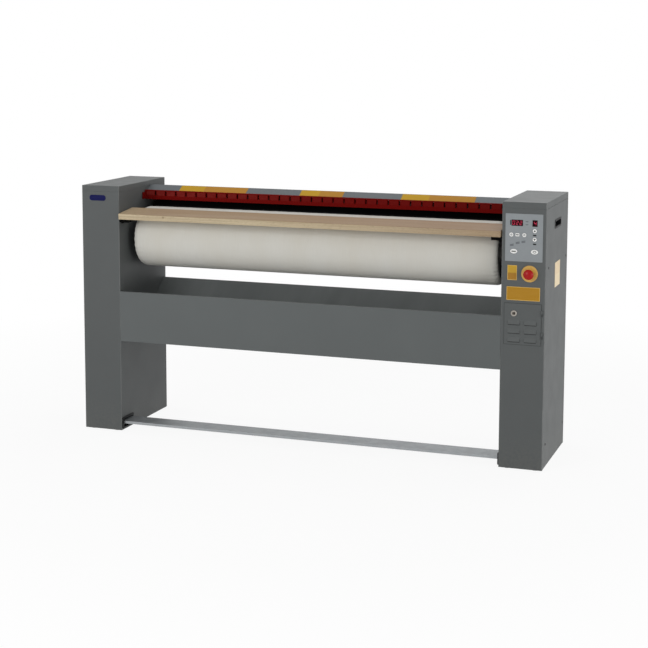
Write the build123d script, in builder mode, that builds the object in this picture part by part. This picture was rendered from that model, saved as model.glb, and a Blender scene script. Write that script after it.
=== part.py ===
from build123d import *
import os
from math import asin, cos, hypot, pi, radians, sin, sqrt

# A free-standing flatwork ironer: a padded roller turns between two sheet-metal columns, and a
# heated bed swings onto it from behind. Millimetres. +X runs along the roller to the control
# column, +Y to the back, +Z up. The origin is on the floor, in the middle of the outer box.

# ---- driving dimensions ----
WIDTH = 2000.0
DEPTH = 455.0
HEIGHT = 1060.0
COLUMN_WIDTH = 174.0
SHEET = 1.5
BEND = 2.5
CAP_HEIGHT = 25.0
SHELL_BOTTOM = 4.0
PAD_HEIGHT = 8.0
ESTOP_REACH = 33.0
GLAND_REACH = 18.0

ROLLER_RADIUS = 129.0
ROLLER_LENGTH = 1588.0
ROLLER_BEHIND = 193.0
ROLLER_Z = 829.0
CLOTH = 2.45
PADDING = 11.4
DRUM_WALL = 3.0
JOURNAL_RADIUS = 17.5

BED_GAP = 0.5
BED_THICKNESS = 10.0
BED_OPEN_ANGLE = 4.5
BED_FROM = -32.0
BED_TO = 66.0
BED_PIVOT_BEHIND = 285.0
BED_PIVOT_Z = 712.0
BED_HALF_LENGTH = 797.0
LEVER = 120.0
LINK = 190.0
CRANK = 18.0

TRAY_BOTTOM_Z = 396.0
TRAY_FRONT_TOP_Z = 610.0
TRAY_FLAT = 172.0
TRAY_BACK_BEHIND = 437.0
TRAY_BACK_TOP_Z = 607.0

BOARD_FRONT_BEHIND = -15.0
BOARD_FRONT_TOP_Z = 945.0
BOARD_DEPTH = 133.7
BOARD_THICKNESS = 21.0
BOARD_NOSE = 24.0
BOARD_NOSE_DEPTH = 30.0
BOARD_SLOPE = 6.0
BOARD_END_GAP = 4.5

GUARD_BEHIND = 245.0
GUARD_BOTTOM_Z = 983.0
GUARD_TOP_Z = 1023.0
GUARD_SLOTS = 33
GUARD_PITCH = 48.21
GUARD_ROD_BEHIND = 254.0
GUARD_ROD_Z = 1013.0

COVER_LIP_BEHIND = 264.0
COVER_LIP_Z = 1015.7
RIDGE_BEHIND = 310.0
RIDGE_Z = 1041.0
COVER_BACK_BEHIND = 441.0
COVER_BACK_Z = 1013.0
COVER_BOTTOM_Z = 735.0

PEDAL_FRONT_BEHIND = 15.0
PEDAL_DEPTH = 79.0
PEDAL_TOP_Z = 43.0
PEDAL_PIVOT_BEHIND = 340.0
PEDAL_PIVOT_Z = 60.0

CHAIN_PITCH = 12.7
ROLLER_TEETH = 57
MOTOR_TEETH = 15
CHAIN_X = 945.0
MOTOR_Z = 560.0

PANEL_WIDTH = 147.0
PANEL_BOTTOM_Z = 829.0
PANEL_TOP_Z = 1015.0
ESTOP_X = 937.0
ESTOP_Z = 782.0
DOOR_WIDTH = 148.0
DOOR_BOTTOM_Z = 500.0
DOOR_TOP_Z = 665.0
LOCK_X = 878.5
LOCK_Z = 624.0

# ---- places that follow from them ----
FRONT = -(DEPTH - ESTOP_REACH + GLAND_REACH) / 2
BACK = FRONT + DEPTH
MID_Y = (FRONT + BACK) / 2
OUTER = WIDTH / 2
INNER = OUTER - COLUMN_WIDTH
MIDDLE = (INNER + OUTER) / 2
CAP_SEAM_Z = HEIGHT - CAP_HEIGHT
ROLLER_Y = FRONT + ROLLER_BEHIND
BED_PIVOT_Y = FRONT + BED_PIVOT_BEHIND
FRAME_IN = INNER + SHEET
FRAME_THICK = 5.0
FRAME_OUT = FRAME_IN + FRAME_THICK
RUN_FIT = 0.05
PLANE_FRONT = Plane.XZ.offset(-FRONT)

os.makedirs("parts", exist_ok=True)


def behind(distance):
    """Y of a point that far behind the columns' front face."""
    return FRONT + distance


def finish(builder, name):
    """Names a finished piece and writes its STEP file."""
    builder.part.label = name
    export_step(builder.part, f"parts/{name}.step")
    print(f"{name}: {len(builder.part.solids())} solid(s), {builder.part.volume / 1000:.1f} cm3")


def folded_face(points, thickness=SHEET, side=Side.LEFT):
    """Section of a sheet folded along the points, which run along its outer skin."""
    with BuildSketch(Plane.YZ) as section:
        with BuildLine():
            Polyline(*points)
            offset(amount=thickness, side=side)
        make_face()
    return section.sketch_local


def sector_face(centre, inner, outer, start, end):
    """Ring sector about a point of the YZ plane, between two angles in degrees from +Y."""
    def at(radius, angle):
        return (centre[0] + radius * cos(radians(angle)), centre[1] + radius * sin(radians(angle)))

    middle = (start + end) / 2
    with BuildSketch(Plane.YZ) as section:
        with BuildLine():
            ThreePointArc(at(inner, start), at(inner, middle), at(inner, end))
            Line(at(inner, end), at(outer, end))
            ThreePointArc(at(outer, end), at(outer, middle), at(outer, start))
            Line(at(outer, start), at(inner, start))
        make_face()
    return section.sketch_local


def rod(x_from, x_to, y, z, radius, mode=Mode.ADD):
    """Round bar along X."""
    with Locations(((x_from + x_to) / 2, y, z)):
        Cylinder(radius, abs(x_to - x_from), rotation=(0, 90, 0), mode=mode)


def block(x_from, x_to, y_from, y_to, z_from, z_to, mode=Mode.ADD):
    """Rectangular block between two corners."""
    with Locations(((x_from + x_to) / 2, (y_from + y_to) / 2, (z_from + z_to) / 2)):
        Box(abs(x_to - x_from), abs(y_to - y_from), abs(z_to - z_from), mode=mode)


def upright(x, y, z_from, z_to, radius, mode=Mode.ADD):
    """Round bar along Z."""
    with Locations((x, y, (z_from + z_to) / 2)):
        Cylinder(radius, z_to - z_from, mode=mode)


# ---- columns ----
HINGE_X = MIDDLE + DOOR_WIDTH / 2 + 1.5
HINGE_Y = FRONT - 3
HINGE_Z = (540.0, 628.0)
KNUCKLE = 12.0
KNUCKLE_RADIUS = 2.8
HINGE_PIN = 1.2
SHELL_FLANGE = 14.0
SHELL_LIP = 14.0
STRAP_Z = (97.0, 800.0)
SCREW_BEHIND = (59.0, 428.0)
SHAFT_HOLE = 42.0
BED_SHAFT_RADIUS = 12.0
GUARD_ROD_RADIUS = 3.0
SLOT_FROM = 8.0
SLOT_TO = 101.0
SLOT_BOTTOM_Z = 12.0
SLOT_TOP_Z = 58.0
CONTROL_HOLE = (125.0, 164.0)
DOOR_HOLE = (132.0, 146.0)
GLAND_Z = 150.0
GLAND_HOLE = 10.2


def make_shell(side):
    """Folded sheet that is the front, inner side and back of one column."""
    height = CAP_SEAM_Z - SHELL_BOTTOM
    panel_x = side * (OUTER - SHEET / 2)
    lip_x = side * (OUTER - 1.5 * SHEET)
    with BuildPart() as shell:
        with BuildSketch(Plane.XY.offset(SHELL_BOTTOM)):
            with Locations((side * MIDDLE, MID_Y)):
                RectangleRounded(COLUMN_WIDTH, DEPTH, BEND)
                RectangleRounded(COLUMN_WIDTH - 2 * SHEET, DEPTH - 2 * SHEET, BEND - SHEET,
                                 mode=Mode.SUBTRACT)
            with Locations((panel_x, MID_Y)):
                Rectangle(SHEET, DEPTH - 2 * SHELL_FLANGE, mode=Mode.SUBTRACT)
            lip_y = DEPTH / 2 - SHELL_FLANGE
            with Locations((lip_x, MID_Y + lip_y), (lip_x, MID_Y - lip_y)):
                Rectangle(SHEET, 2 * SHELL_LIP - 4)
        extrude(amount=height)
        for strap_z in STRAP_Z:
            block(side * (OUTER - 2 * SHEET), side * (OUTER - SHEET), behind(20), BACK - 20,
                  strap_z - 16, strap_z + 16)
            for screw in SCREW_BEHIND:
                rod(side * (OUTER - 3 * SHEET), side * OUTER, behind(screw), strap_z, 2.6, Mode.SUBTRACT)
        wall_in = side * (INNER - 1)
        wall_out = side * (INNER + 3)
        rod(wall_in, wall_out, ROLLER_Y, ROLLER_Z, SHAFT_HOLE, Mode.SUBTRACT)
        rod(wall_in, wall_out, BED_PIVOT_Y, BED_PIVOT_Z, BED_SHAFT_RADIUS + 2, Mode.SUBTRACT)
        rod(wall_in, wall_out, behind(GUARD_ROD_BEHIND), GUARD_ROD_Z, GUARD_ROD_RADIUS + 0.1,
            Mode.SUBTRACT)
        block(wall_in, wall_out, behind(SLOT_FROM), behind(SLOT_TO), SLOT_BOTTOM_Z, SLOT_TOP_Z,
              Mode.SUBTRACT)
        if side > 0:
            with BuildSketch(PLANE_FRONT.offset(1)):
                with Locations((MIDDLE, (PANEL_BOTTOM_Z + PANEL_TOP_Z) / 2)):
                    Rectangle(*CONTROL_HOLE)
                with Locations((MIDDLE, (DOOR_BOTTOM_Z + DOOR_TOP_Z) / 2)):
                    Rectangle(*DOOR_HOLE)
                with Locations((ESTOP_X, ESTOP_Z)):
                    Circle(11.2)
            extrude(amount=-4, mode=Mode.SUBTRACT)
            with BuildSketch(Plane.XZ.offset(-BACK - 1)):
                with Locations((MIDDLE, GLAND_Z)):
                    Circle(GLAND_HOLE)
            extrude(amount=4, mode=Mode.SUBTRACT)
            for z in HINGE_Z:
                block(HINGE_X - 0.5, HINGE_X + 6.5, FRONT - 2.5, FRONT, z, z + KNUCKLE)
                upright(HINGE_X, HINGE_Y, z, z + KNUCKLE, KNUCKLE_RADIUS)
                upright(HINGE_X, HINGE_Y, z - KNUCKLE, z, HINGE_PIN)
    return shell


def make_cap(side):
    """Shallow pressed lid of one column, resting on the shell's upper edge."""
    with BuildPart() as cap:
        with BuildSketch(Plane.XY.offset(CAP_SEAM_Z)):
            with Locations((side * MIDDLE, MID_Y)):
                RectangleRounded(COLUMN_WIDTH, DEPTH, BEND)
        extrude(amount=CAP_HEIGHT)
        fillet(cap.faces().sort_by(Axis.Z)[-1].edges(), radius=BEND - 0.2)
        with BuildSketch(Plane.XY.offset(CAP_SEAM_Z)):
            with Locations((side * MIDDLE, MID_Y)):
                RectangleRounded(COLUMN_WIDTH - 2 * SHEET, DEPTH - 2 * SHEET, BEND - SHEET)
        extrude(amount=CAP_HEIGHT - SHEET, mode=Mode.SUBTRACT)
        chamfer(cap.faces().sort_by(Axis.Z)[0].outer_wire().edges(), length=0.7)
    return cap


GRIP_BEHIND = (175.0, 293.0)
GRIP_Z = (945.0, 971.0)
PANEL_GAP = 0.4


def make_side_panel(side):
    """Removable outer side of one column; the control side has a recessed hand grip."""
    with BuildPart() as panel:
        block(side * (OUTER - SHEET), side * OUTER, behind(SHELL_FLANGE + PANEL_GAP),
              BACK - SHELL_FLANGE - PANEL_GAP, SHELL_BOTTOM + 1, CAP_SEAM_Z - PANEL_GAP)
        for strap_z in STRAP_Z:
            for screw in SCREW_BEHIND:
                rod(side * (OUTER - 3), side * (OUTER + 1), behind(screw), strap_z, 3.2, Mode.SUBTRACT)
        if side > 0:
            block(OUTER - 3, OUTER + 1, behind(GRIP_BEHIND[0]), behind(GRIP_BEHIND[1]), *GRIP_Z,
                  Mode.SUBTRACT)
    return panel


SPRING_X = 857.0
SPRING_BEHIND = 150.0
SPRING_LOW_Z = 40.0
SPRING_HIGH_Z = 190.0
SPRING_PEG = 4.0
BASE_PLATE = 3.0
FRAME_MARGIN = 12.0
FRAME_TOP_Z = 1028.0
FRAME_FOOT = 26.0
PEDAL_CUT = (120.0, 75.0)
PEDAL_PIN = 6.0
PEDAL_PIN_REACH = 25.0


def make_side_frame(side):
    """Welded steel plate inside one column that carries the roller, bed and pedal."""
    foot_z = PAD_HEIGHT + BASE_PLATE
    with BuildPart() as frame:
        block(side * FRAME_IN, side * FRAME_OUT, behind(FRAME_MARGIN), BACK - FRAME_MARGIN, foot_z,
              FRAME_TOP_Z)
        block(side * FRAME_OUT, side * (FRAME_OUT + FRAME_FOOT), behind(PEDAL_CUT[0] + 5),
              BACK - FRAME_MARGIN, foot_z, foot_z + FRAME_THICK)
        near = side * (FRAME_IN - 1)
        far = side * (FRAME_OUT + 1)
        rod(near, far, ROLLER_Y, ROLLER_Z, SHAFT_HOLE, Mode.SUBTRACT)
        rod(near, far, BED_PIVOT_Y, BED_PIVOT_Z, BED_SHAFT_RADIUS + RUN_FIT, Mode.SUBTRACT)
        rod(near, far, behind(GUARD_ROD_BEHIND), GUARD_ROD_Z, GUARD_ROD_RADIUS + 0.1, Mode.SUBTRACT)
        block(near, far, FRONT, behind(PEDAL_CUT[0]), 0, PEDAL_CUT[1], Mode.SUBTRACT)
        rod(side * FRAME_OUT, side * (FRAME_OUT + PEDAL_PIN_REACH), behind(PEDAL_PIVOT_BEHIND),
            PEDAL_PIVOT_Z, PEDAL_PIN)
        rod(side * FRAME_OUT, side * (SPRING_X + 6), behind(SPRING_BEHIND), SPRING_HIGH_Z, SPRING_PEG)
    return frame


CAP_NAMES = {-1: "left", 1: "right"}
for side, word in CAP_NAMES.items():
    finish(make_shell(side), f"{word}_column_shell")
    finish(make_cap(side), f"{word}_top_cap")
    finish(make_side_panel(side), f"{word}_side_panel")
    finish(make_side_frame(side), f"{word}_side_frame")

ANCHOR_SPACING = (80.0, 220.0)
ANCHOR_RADIUS = 6.0
PLATE_LIP = 22.0
with BuildPart() as base_plates:
    for side in CAP_NAMES:
        with BuildSketch(Plane.XY.offset(PAD_HEIGHT)):
            with Locations((side * (MIDDLE - SHEET / 2), MID_Y)):
                RectangleRounded(COLUMN_WIDTH - 3 * SHEET - 0.2, DEPTH - 2 * SHEET - 0.2, BEND)
        extrude(amount=BASE_PLATE)
        for y in (behind(SHEET + 1.6), BACK - SHEET - 1.6):
            block(side * (INNER + 20), side * (OUTER - 20), y - BASE_PLATE / 2, y + BASE_PLATE / 2,
                  PAD_HEIGHT, PAD_HEIGHT + PLATE_LIP)
        with BuildSketch(Plane.XY.offset(PAD_HEIGHT - 1)):
            with Locations((side * MIDDLE, MID_Y)):
                with GridLocations(*ANCHOR_SPACING, 2, 2):
                    Circle(ANCHOR_RADIUS)
        extrude(amount=5, mode=Mode.SUBTRACT)
finish(base_plates, "base_plates")

PAD_RADIUS = 24.0
PAD_SPACING = (112.0, 388.0)
with BuildPart() as foot_pads:
    for side in CAP_NAMES:
        with BuildSketch(Plane.XY):
            with Locations((side * MIDDLE, MID_Y)):
                with GridLocations(*PAD_SPACING, 2, 2):
                    Circle(PAD_RADIUS)
        extrude(amount=PAD_HEIGHT)
    chamfer(foot_pads.faces().group_by(Axis.Z)[0].edges(), length=1.5)
finish(foot_pads, "foot_pads")

SCREW_HEAD = 5.0
with BuildPart() as side_panel_screws:
    for side in CAP_NAMES:
        for strap_z in STRAP_Z:
            for screw in SCREW_BEHIND:
                rod(side * (OUTER - 8), side * OUTER, behind(screw), strap_z, 2.5)
                rod(side * OUTER, side * (OUTER + 1.6), behind(screw), strap_z, SCREW_HEAD)
finish(side_panel_screws, "side_panel_screws")

GRIP_DEPTH = 32.0
GRIP_RIM = 5.0
with BuildPart() as side_grip:
    grip_y = (behind(GRIP_BEHIND[0]) + behind(GRIP_BEHIND[1])) / 2
    grip_z = sum(GRIP_Z) / 2
    grip_size = (GRIP_BEHIND[1] - GRIP_BEHIND[0], GRIP_Z[1] - GRIP_Z[0])
    with BuildSketch(Plane.YZ.offset(OUTER)):
        with Locations((grip_y, grip_z)):
            RectangleRounded(grip_size[0] + 2 * GRIP_RIM, grip_size[1] + 2 * GRIP_RIM, 6)
    extrude(amount=1.6)
    with BuildSketch(Plane.YZ.offset(OUTER)):
        with Locations((grip_y, grip_z)):
            RectangleRounded(grip_size[0] - 0.6, grip_size[1] - 0.6, 4)
    extrude(amount=-GRIP_DEPTH)
    with BuildSketch(Plane.YZ.offset(OUTER + 2)):
        with Locations((grip_y, grip_z)):
            RectangleRounded(grip_size[0] - 4.6, grip_size[1] - 4.6, 3)
    extrude(amount=-GRIP_DEPTH, mode=Mode.SUBTRACT)
finish(side_grip, "side_grip")

# ---- roller ----
DRUM_RADIUS = ROLLER_RADIUS - CLOTH - PADDING - 0.1
DISC_X = 758.0
DISC_THICK = 6.0
FLANGE_RADIUS = 45.0
FLANGE_THICK = 8.0
HUB_RADIUS = 28.0
AXIS_ROLLER = Axis((0, ROLLER_Y, ROLLER_Z), (1, 0, 0))
PLANE_ROLLER = Plane.XZ.offset(-ROLLER_Y)

with BuildPart() as roller_drum:
    half = ROLLER_LENGTH / 2 - 6
    rod(-half, half, ROLLER_Y, ROLLER_Z, DRUM_RADIUS)
    rod(-half, half, ROLLER_Y, ROLLER_Z, DRUM_RADIUS - DRUM_WALL, Mode.SUBTRACT)
    for side in CAP_NAMES:
        rod(side * DISC_X, side * (DISC_X + DISC_THICK), ROLLER_Y, ROLLER_Z, DRUM_RADIUS - 1)
        rod(side * DISC_X, side * (DISC_X + DISC_THICK), ROLLER_Y, ROLLER_Z, 20, Mode.SUBTRACT)
finish(roller_drum, "roller_drum")

with BuildPart() as roller_padding:
    half = ROLLER_LENGTH / 2 - 3
    rod(-half, half, ROLLER_Y, ROLLER_Z, DRUM_RADIUS + PADDING)
    rod(-half, half, ROLLER_Y, ROLLER_Z, DRUM_RADIUS + 0.05, Mode.SUBTRACT)
    fillet(roller_padding.edges().filter_by(GeomType.CIRCLE).group_by(SortBy.RADIUS)[-1], radius=8)
finish(roller_padding, "roller_padding")

HEM_RADIUS = 100.0
CLOTH_END_ROUND = 11.0
with BuildPart() as roller_cloth:
    with BuildSketch(PLANE_ROLLER):
        with BuildLine():
            end = ROLLER_LENGTH / 2
            top = ROLLER_Z + ROLLER_RADIUS
            hem = ROLLER_Z + HEM_RADIUS
            low = CLOTH_END_ROUND * (1 - 1 / sqrt(2))
            for side in (1, -1):
                Line((0, top), (side * (end - CLOTH_END_ROUND), top))
                ThreePointArc((side * (end - CLOTH_END_ROUND), top), (side * (end - low), top - low),
                              (side * end, top - CLOTH_END_ROUND))
                Line((side * end, top - CLOTH_END_ROUND), (side * end, hem))
                Line((side * end, hem), (side * (end - CLOTH), hem))
                Line((side * (end - CLOTH), hem), (side * (end - CLOTH), top - CLOTH_END_ROUND))
                inner_low = low + CLOTH / sqrt(2)
                ThreePointArc((side * (end - CLOTH), top - CLOTH_END_ROUND),
                              (side * (end - inner_low), top - inner_low),
                              (side * (end - CLOTH_END_ROUND), top - CLOTH))
                Line((side * (end - CLOTH_END_ROUND), top - CLOTH), (0, top - CLOTH))
        make_face()
    revolve(axis=AXIS_ROLLER)
finish(roller_cloth, "roller_cloth")

SHAFT_END = {-1: 870.0, 1: 962.0}
HUB_END = 800.0


def make_journal(side):
    """Flanged stub shaft bolted to one end disc of the drum."""
    flange_x = DISC_X + DISC_THICK
    with BuildPart() as journal:
        rod(side * flange_x, side * (flange_x + FLANGE_THICK), ROLLER_Y, ROLLER_Z, FLANGE_RADIUS)
        rod(side * flange_x, side * HUB_END, ROLLER_Y, ROLLER_Z, HUB_RADIUS)
        rod(side * (flange_x - 12), side * SHAFT_END[side], ROLLER_Y, ROLLER_Z, JOURNAL_RADIUS)
        with BuildSketch(Plane.YZ.offset(side * (flange_x + FLANGE_THICK))):
            with Locations((ROLLER_Y, ROLLER_Z)):
                with PolarLocations(36.5, 6):
                    RegularPolygon(6, 6)
        extrude(amount=side * 4)
    return journal


for side, word in CAP_NAMES.items():
    finish(make_journal(side), f"{word}_journal")

BEARING_SIZE = 110.0
with BuildPart() as roller_bearings:
    for side in CAP_NAMES:
        with BuildSketch(Plane.YZ.offset(side * FRAME_OUT)):
            with Locations((ROLLER_Y, ROLLER_Z)):
                RectangleRounded(BEARING_SIZE, BEARING_SIZE, 14)
        extrude(amount=side * 12)
        rod(side * FRAME_OUT, side * (FRAME_OUT + 33), ROLLER_Y, ROLLER_Z, 40)
        rod(side * (FRAME_OUT - 1), side * (FRAME_OUT + 40), ROLLER_Y, ROLLER_Z,
            JOURNAL_RADIUS + RUN_FIT, Mode.SUBTRACT)
        with BuildSketch(Plane.YZ.offset(side * (FRAME_OUT + 12))):
            with Locations((ROLLER_Y, ROLLER_Z)):
                with GridLocations(83, 83, 2, 2):
                    RegularPolygon(9, 6)
        extrude(amount=side * 8)
finish(roller_bearings, "roller_bearings")


# ---- roller drive ----
def pitch_radius(teeth):
    """Pitch circle of a chain wheel."""
    return CHAIN_PITCH / (2 * sin(pi / teeth))


TOOTH_WIDTH = 5.0
SEAT_RADIUS = 4.4
TIP_HEIGHT = 3.0


def wheel_face(teeth, y, z):
    """Toothed outline of a chain wheel about an axis along X."""
    radius = pitch_radius(teeth)
    with BuildSketch(Plane.YZ) as wheel:
        with Locations((y, z)):
            Circle(radius + TIP_HEIGHT)
            with PolarLocations(radius, teeth, start_angle=90):
                Circle(SEAT_RADIUS, mode=Mode.SUBTRACT)
    return wheel.sketch_local


with BuildPart() as roller_sprocket:
    with BuildSketch(Plane.YZ.offset(CHAIN_X - TOOTH_WIDTH / 2)):
        add(wheel_face(ROLLER_TEETH, ROLLER_Y, ROLLER_Z))
    extrude(amount=TOOTH_WIDTH)
    rod(CHAIN_X - 16, CHAIN_X + 12, ROLLER_Y, ROLLER_Z, 30)
    with BuildSketch(Plane.YZ.offset(CHAIN_X - TOOTH_WIDTH / 2)):
        with Locations((ROLLER_Y, ROLLER_Z)):
            with PolarLocations(70, 6):
                Circle(22)
    extrude(amount=TOOTH_WIDTH, mode=Mode.SUBTRACT)
    rod(CHAIN_X - 20, CHAIN_X + 20, ROLLER_Y, ROLLER_Z, JOURNAL_RADIUS + 0.03, Mode.SUBTRACT)
finish(roller_sprocket, "roller_sprocket")

MOTOR_SHAFT_RADIUS = 10.0
GEARBOX_X = (FRAME_OUT + 3.5, 925.0)
with BuildPart() as motor_sprocket:
    with BuildSketch(Plane.YZ.offset(CHAIN_X - TOOTH_WIDTH / 2)):
        add(wheel_face(MOTOR_TEETH, ROLLER_Y, MOTOR_Z))
    extrude(amount=TOOTH_WIDTH)
    rod(CHAIN_X - 10, CHAIN_X + 12, ROLLER_Y, MOTOR_Z, 18)
    rod(GEARBOX_X[1] - 24, CHAIN_X + 16, ROLLER_Y, MOTOR_Z, MOTOR_SHAFT_RADIUS)
finish(motor_sprocket, "motor_sprocket")

LINK_PLATE_HALF = 5.6
LINK_PLATE = 1.4
LINK_GAP = 0.8


def belt_outline(grow):
    """Face inside a loop round both chain wheels, grown from the pitch line."""
    with BuildSketch(Plane.YZ) as loop:
        with Locations((ROLLER_Y, ROLLER_Z)):
            Circle(pitch_radius(ROLLER_TEETH) + grow)
        with Locations((ROLLER_Y, MOTOR_Z)):
            Circle(pitch_radius(MOTOR_TEETH) + grow)
        make_hull()
    return loop.sketch_local


with BuildPart() as drive_chain:
    band = belt_outline(LINK_PLATE_HALF) - belt_outline(-LINK_PLATE_HALF)
    inner_x = TOOTH_WIDTH / 2 + LINK_GAP
    for plate_x in (CHAIN_X - inner_x - LINK_PLATE, CHAIN_X + inner_x):
        with BuildSketch(Plane.YZ.offset(plate_x)):
            add(band)
        extrude(amount=LINK_PLATE)
    centres = ROLLER_Z - MOTOR_Z
    radius_step = pitch_radius(ROLLER_TEETH) - pitch_radius(MOTOR_TEETH)
    lean = asin(radius_step / centres)
    straight = sqrt(centres**2 - radius_step**2)
    rollers = int(straight / CHAIN_PITCH) - 6
    for side in (-1, 1):
        for i in range(rollers):
            along = (i + 3) * CHAIN_PITCH
            y = ROLLER_Y + side * (pitch_radius(MOTOR_TEETH) * cos(lean) + along * sin(lean))
            z = MOTOR_Z - pitch_radius(MOTOR_TEETH) * sin(lean) + along * cos(lean)
            rod(CHAIN_X - inner_x - 0.5, CHAIN_X + inner_x + 0.5, y, z, 4.2)
finish(drive_chain, "drive_chain")


def make_gear_motor(side, box_x, y, z, box_size, motor_radius, motor_length, bore, posts):
    """Worm gear box with its motor lying towards the back, bolted to a side frame on posts."""
    axis_x = (box_x[0] + box_x[1]) / 2
    half_y = box_size[0] / 2
    half_z = box_size[1] / 2
    corner = 14
    with BuildPart() as motor:
        block(side * box_x[0], side * box_x[1], y - half_y, y + half_y, z - half_z, z + half_z)
        fillet(motor.edges().filter_by(Axis.X), radius=10)
        with BuildSketch(Plane.XZ.offset(-(y + half_y))):
            with Locations((side * axis_x, z)):
                Circle(motor_radius)
        extrude(amount=-motor_length)
        with BuildSketch(Plane.XZ.offset(-(y + half_y))):
            with Locations((side * axis_x, z)):
                with PolarLocations(motor_radius + 1, 16):
                    Rectangle(6, 3)
        extrude(amount=-(motor_length - 30))
        for dy in (-half_y + corner, half_y - corner):
            for dz in (-half_z + corner, half_z - corner):
                rod(side * FRAME_OUT, side * posts, y + dy, z + dz, 9)
        rod(side * bore[0], side * bore[1], y, z, bore[2], Mode.SUBTRACT)
    return motor


gear_motor = make_gear_motor(1, GEARBOX_X, ROLLER_Y, MOTOR_Z, (100, 110), 42.0, 160.0,
                             (GEARBOX_X[1] - 30, GEARBOX_X[1] + 1, MOTOR_SHAFT_RADIUS + RUN_FIT),
                             GEARBOX_X[0] + 5)
finish(gear_motor, "gear_motor")

# ---- heated bed ----
# The closed bed is concentric with the roller; it is drawn open, swung back about its pivot.
open_angle = radians(BED_OPEN_ANGLE)
REACH_Y = ROLLER_Y - BED_PIVOT_Y
REACH_Z = ROLLER_Z - BED_PIVOT_Z
BED_Y = BED_PIVOT_Y + REACH_Y * cos(open_angle) + REACH_Z * sin(open_angle)
BED_Z = BED_PIVOT_Z - REACH_Y * sin(open_angle) + REACH_Z * cos(open_angle)
BED_CENTRE = (BED_Y, BED_Z)
BED_START = BED_FROM - BED_OPEN_ANGLE
BED_END = BED_TO - BED_OPEN_ANGLE
BED_INNER = ROLLER_RADIUS + BED_GAP
BED_OUTER = BED_INNER + BED_THICKNESS
HEATER_RADIUS = 6.0
HEATER_RING = BED_OUTER + HEATER_RADIUS + 0.4
CASING_OUTER = 186.0
CASING_END = 50.0

with BuildPart() as heated_bed:
    with BuildSketch(Plane.YZ.offset(-BED_HALF_LENGTH)):
        add(sector_face(BED_CENTRE, BED_INNER, BED_OUTER, BED_START, BED_END))
    extrude(amount=2 * BED_HALF_LENGTH)
    fillet(heated_bed.edges().filter_by(Axis.X), radius=3)
finish(heated_bed, "heated_bed")

HEATER_ANGLES = (-22.0, -6.0, 10.0, 26.0, 40.0)
with BuildPart() as bed_heaters:
    for angle in HEATER_ANGLES:
        turn = radians(angle)
        rod(-BED_HALF_LENGTH + 12, BED_HALF_LENGTH - 12, BED_Y + HEATER_RING * cos(turn),
            BED_Z + HEATER_RING * sin(turn), HEATER_RADIUS)
finish(bed_heaters, "bed_heaters")

INSULATION_INNER = HEATER_RING + HEATER_RADIUS + 0.4
with BuildPart() as bed_insulation:
    with BuildSketch(Plane.YZ.offset(-BED_HALF_LENGTH + 2)):
        add(sector_face(BED_CENTRE, INSULATION_INNER, CASING_OUTER - 1.3, BED_START + 3, CASING_END - 2))
    extrude(amount=2 * BED_HALF_LENGTH - 4)
finish(bed_insulation, "bed_insulation")

END_PLATE = 6.0
with BuildPart() as bed_casing:
    with BuildSketch(Plane.YZ.offset(-BED_HALF_LENGTH)):
        add(sector_face(BED_CENTRE, BED_OUTER + 0.1, CASING_OUTER, BED_START + 1, CASING_END))
        add(sector_face(BED_CENTRE, BED_OUTER, CASING_OUTER - 1.2, BED_START + 2, CASING_END - 1),
            mode=Mode.SUBTRACT)
    extrude(amount=2 * BED_HALF_LENGTH)
    for side in CAP_NAMES:
        with BuildSketch(Plane.YZ.offset(side * BED_HALF_LENGTH)):
            add(sector_face(BED_CENTRE, BED_INNER + 2, CASING_OUTER, BED_START, CASING_END))
            with Locations((BED_PIVOT_Y, BED_PIVOT_Z)):
                Circle(24)
            with BuildLine():
                low = radians(BED_START + 2)
                high = radians(BED_START + 22)
                Polyline((BED_PIVOT_Y - 18, BED_PIVOT_Z + 14), (BED_PIVOT_Y + 6, BED_PIVOT_Z - 23),
                         (BED_Y + 180 * cos(low), BED_Z + 180 * sin(low)),
                         (BED_Y + 170 * cos(high), BED_Z + 170 * sin(high)),
                         (BED_Y + 133 * cos(high), BED_Z + 133 * sin(high)), close=True)
            make_face()
            with Locations((BED_PIVOT_Y, BED_PIVOT_Z)):
                Circle(BED_SHAFT_RADIUS + 0.03, mode=Mode.SUBTRACT)
        extrude(amount=side * END_PLATE)
finish(bed_casing, "bed_casing")

LEVER_X = (850.0, 858.0)
LINK_X = (840.5, 848.5)
half_lift = radians(BED_OPEN_ANGLE / 2)
LEVER_END = (BED_PIVOT_Y - LEVER * cos(half_lift), BED_PIVOT_Z + LEVER * sin(half_lift))
LINK_PIN = 5.0
with BuildPart() as bed_shafts:
    rod(-(BED_HALF_LENGTH - 1), -LEVER_X[1], BED_PIVOT_Y, BED_PIVOT_Z, BED_SHAFT_RADIUS)
    rod(BED_HALF_LENGTH - 1, FRAME_OUT + 12, BED_PIVOT_Y, BED_PIVOT_Z, BED_SHAFT_RADIUS)
    with BuildSketch(Plane.YZ.offset(-LEVER_X[1])):
        with Locations((BED_PIVOT_Y, BED_PIVOT_Z)):
            Circle(24)
        with Locations(LEVER_END):
            Circle(13)
        make_hull()
    extrude(amount=LEVER_X[1] - LEVER_X[0])
    rod(-LEVER_X[0] - 1, -LINK_X[0], *LEVER_END, LINK_PIN)
finish(bed_shafts, "bed_shafts")

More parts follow.
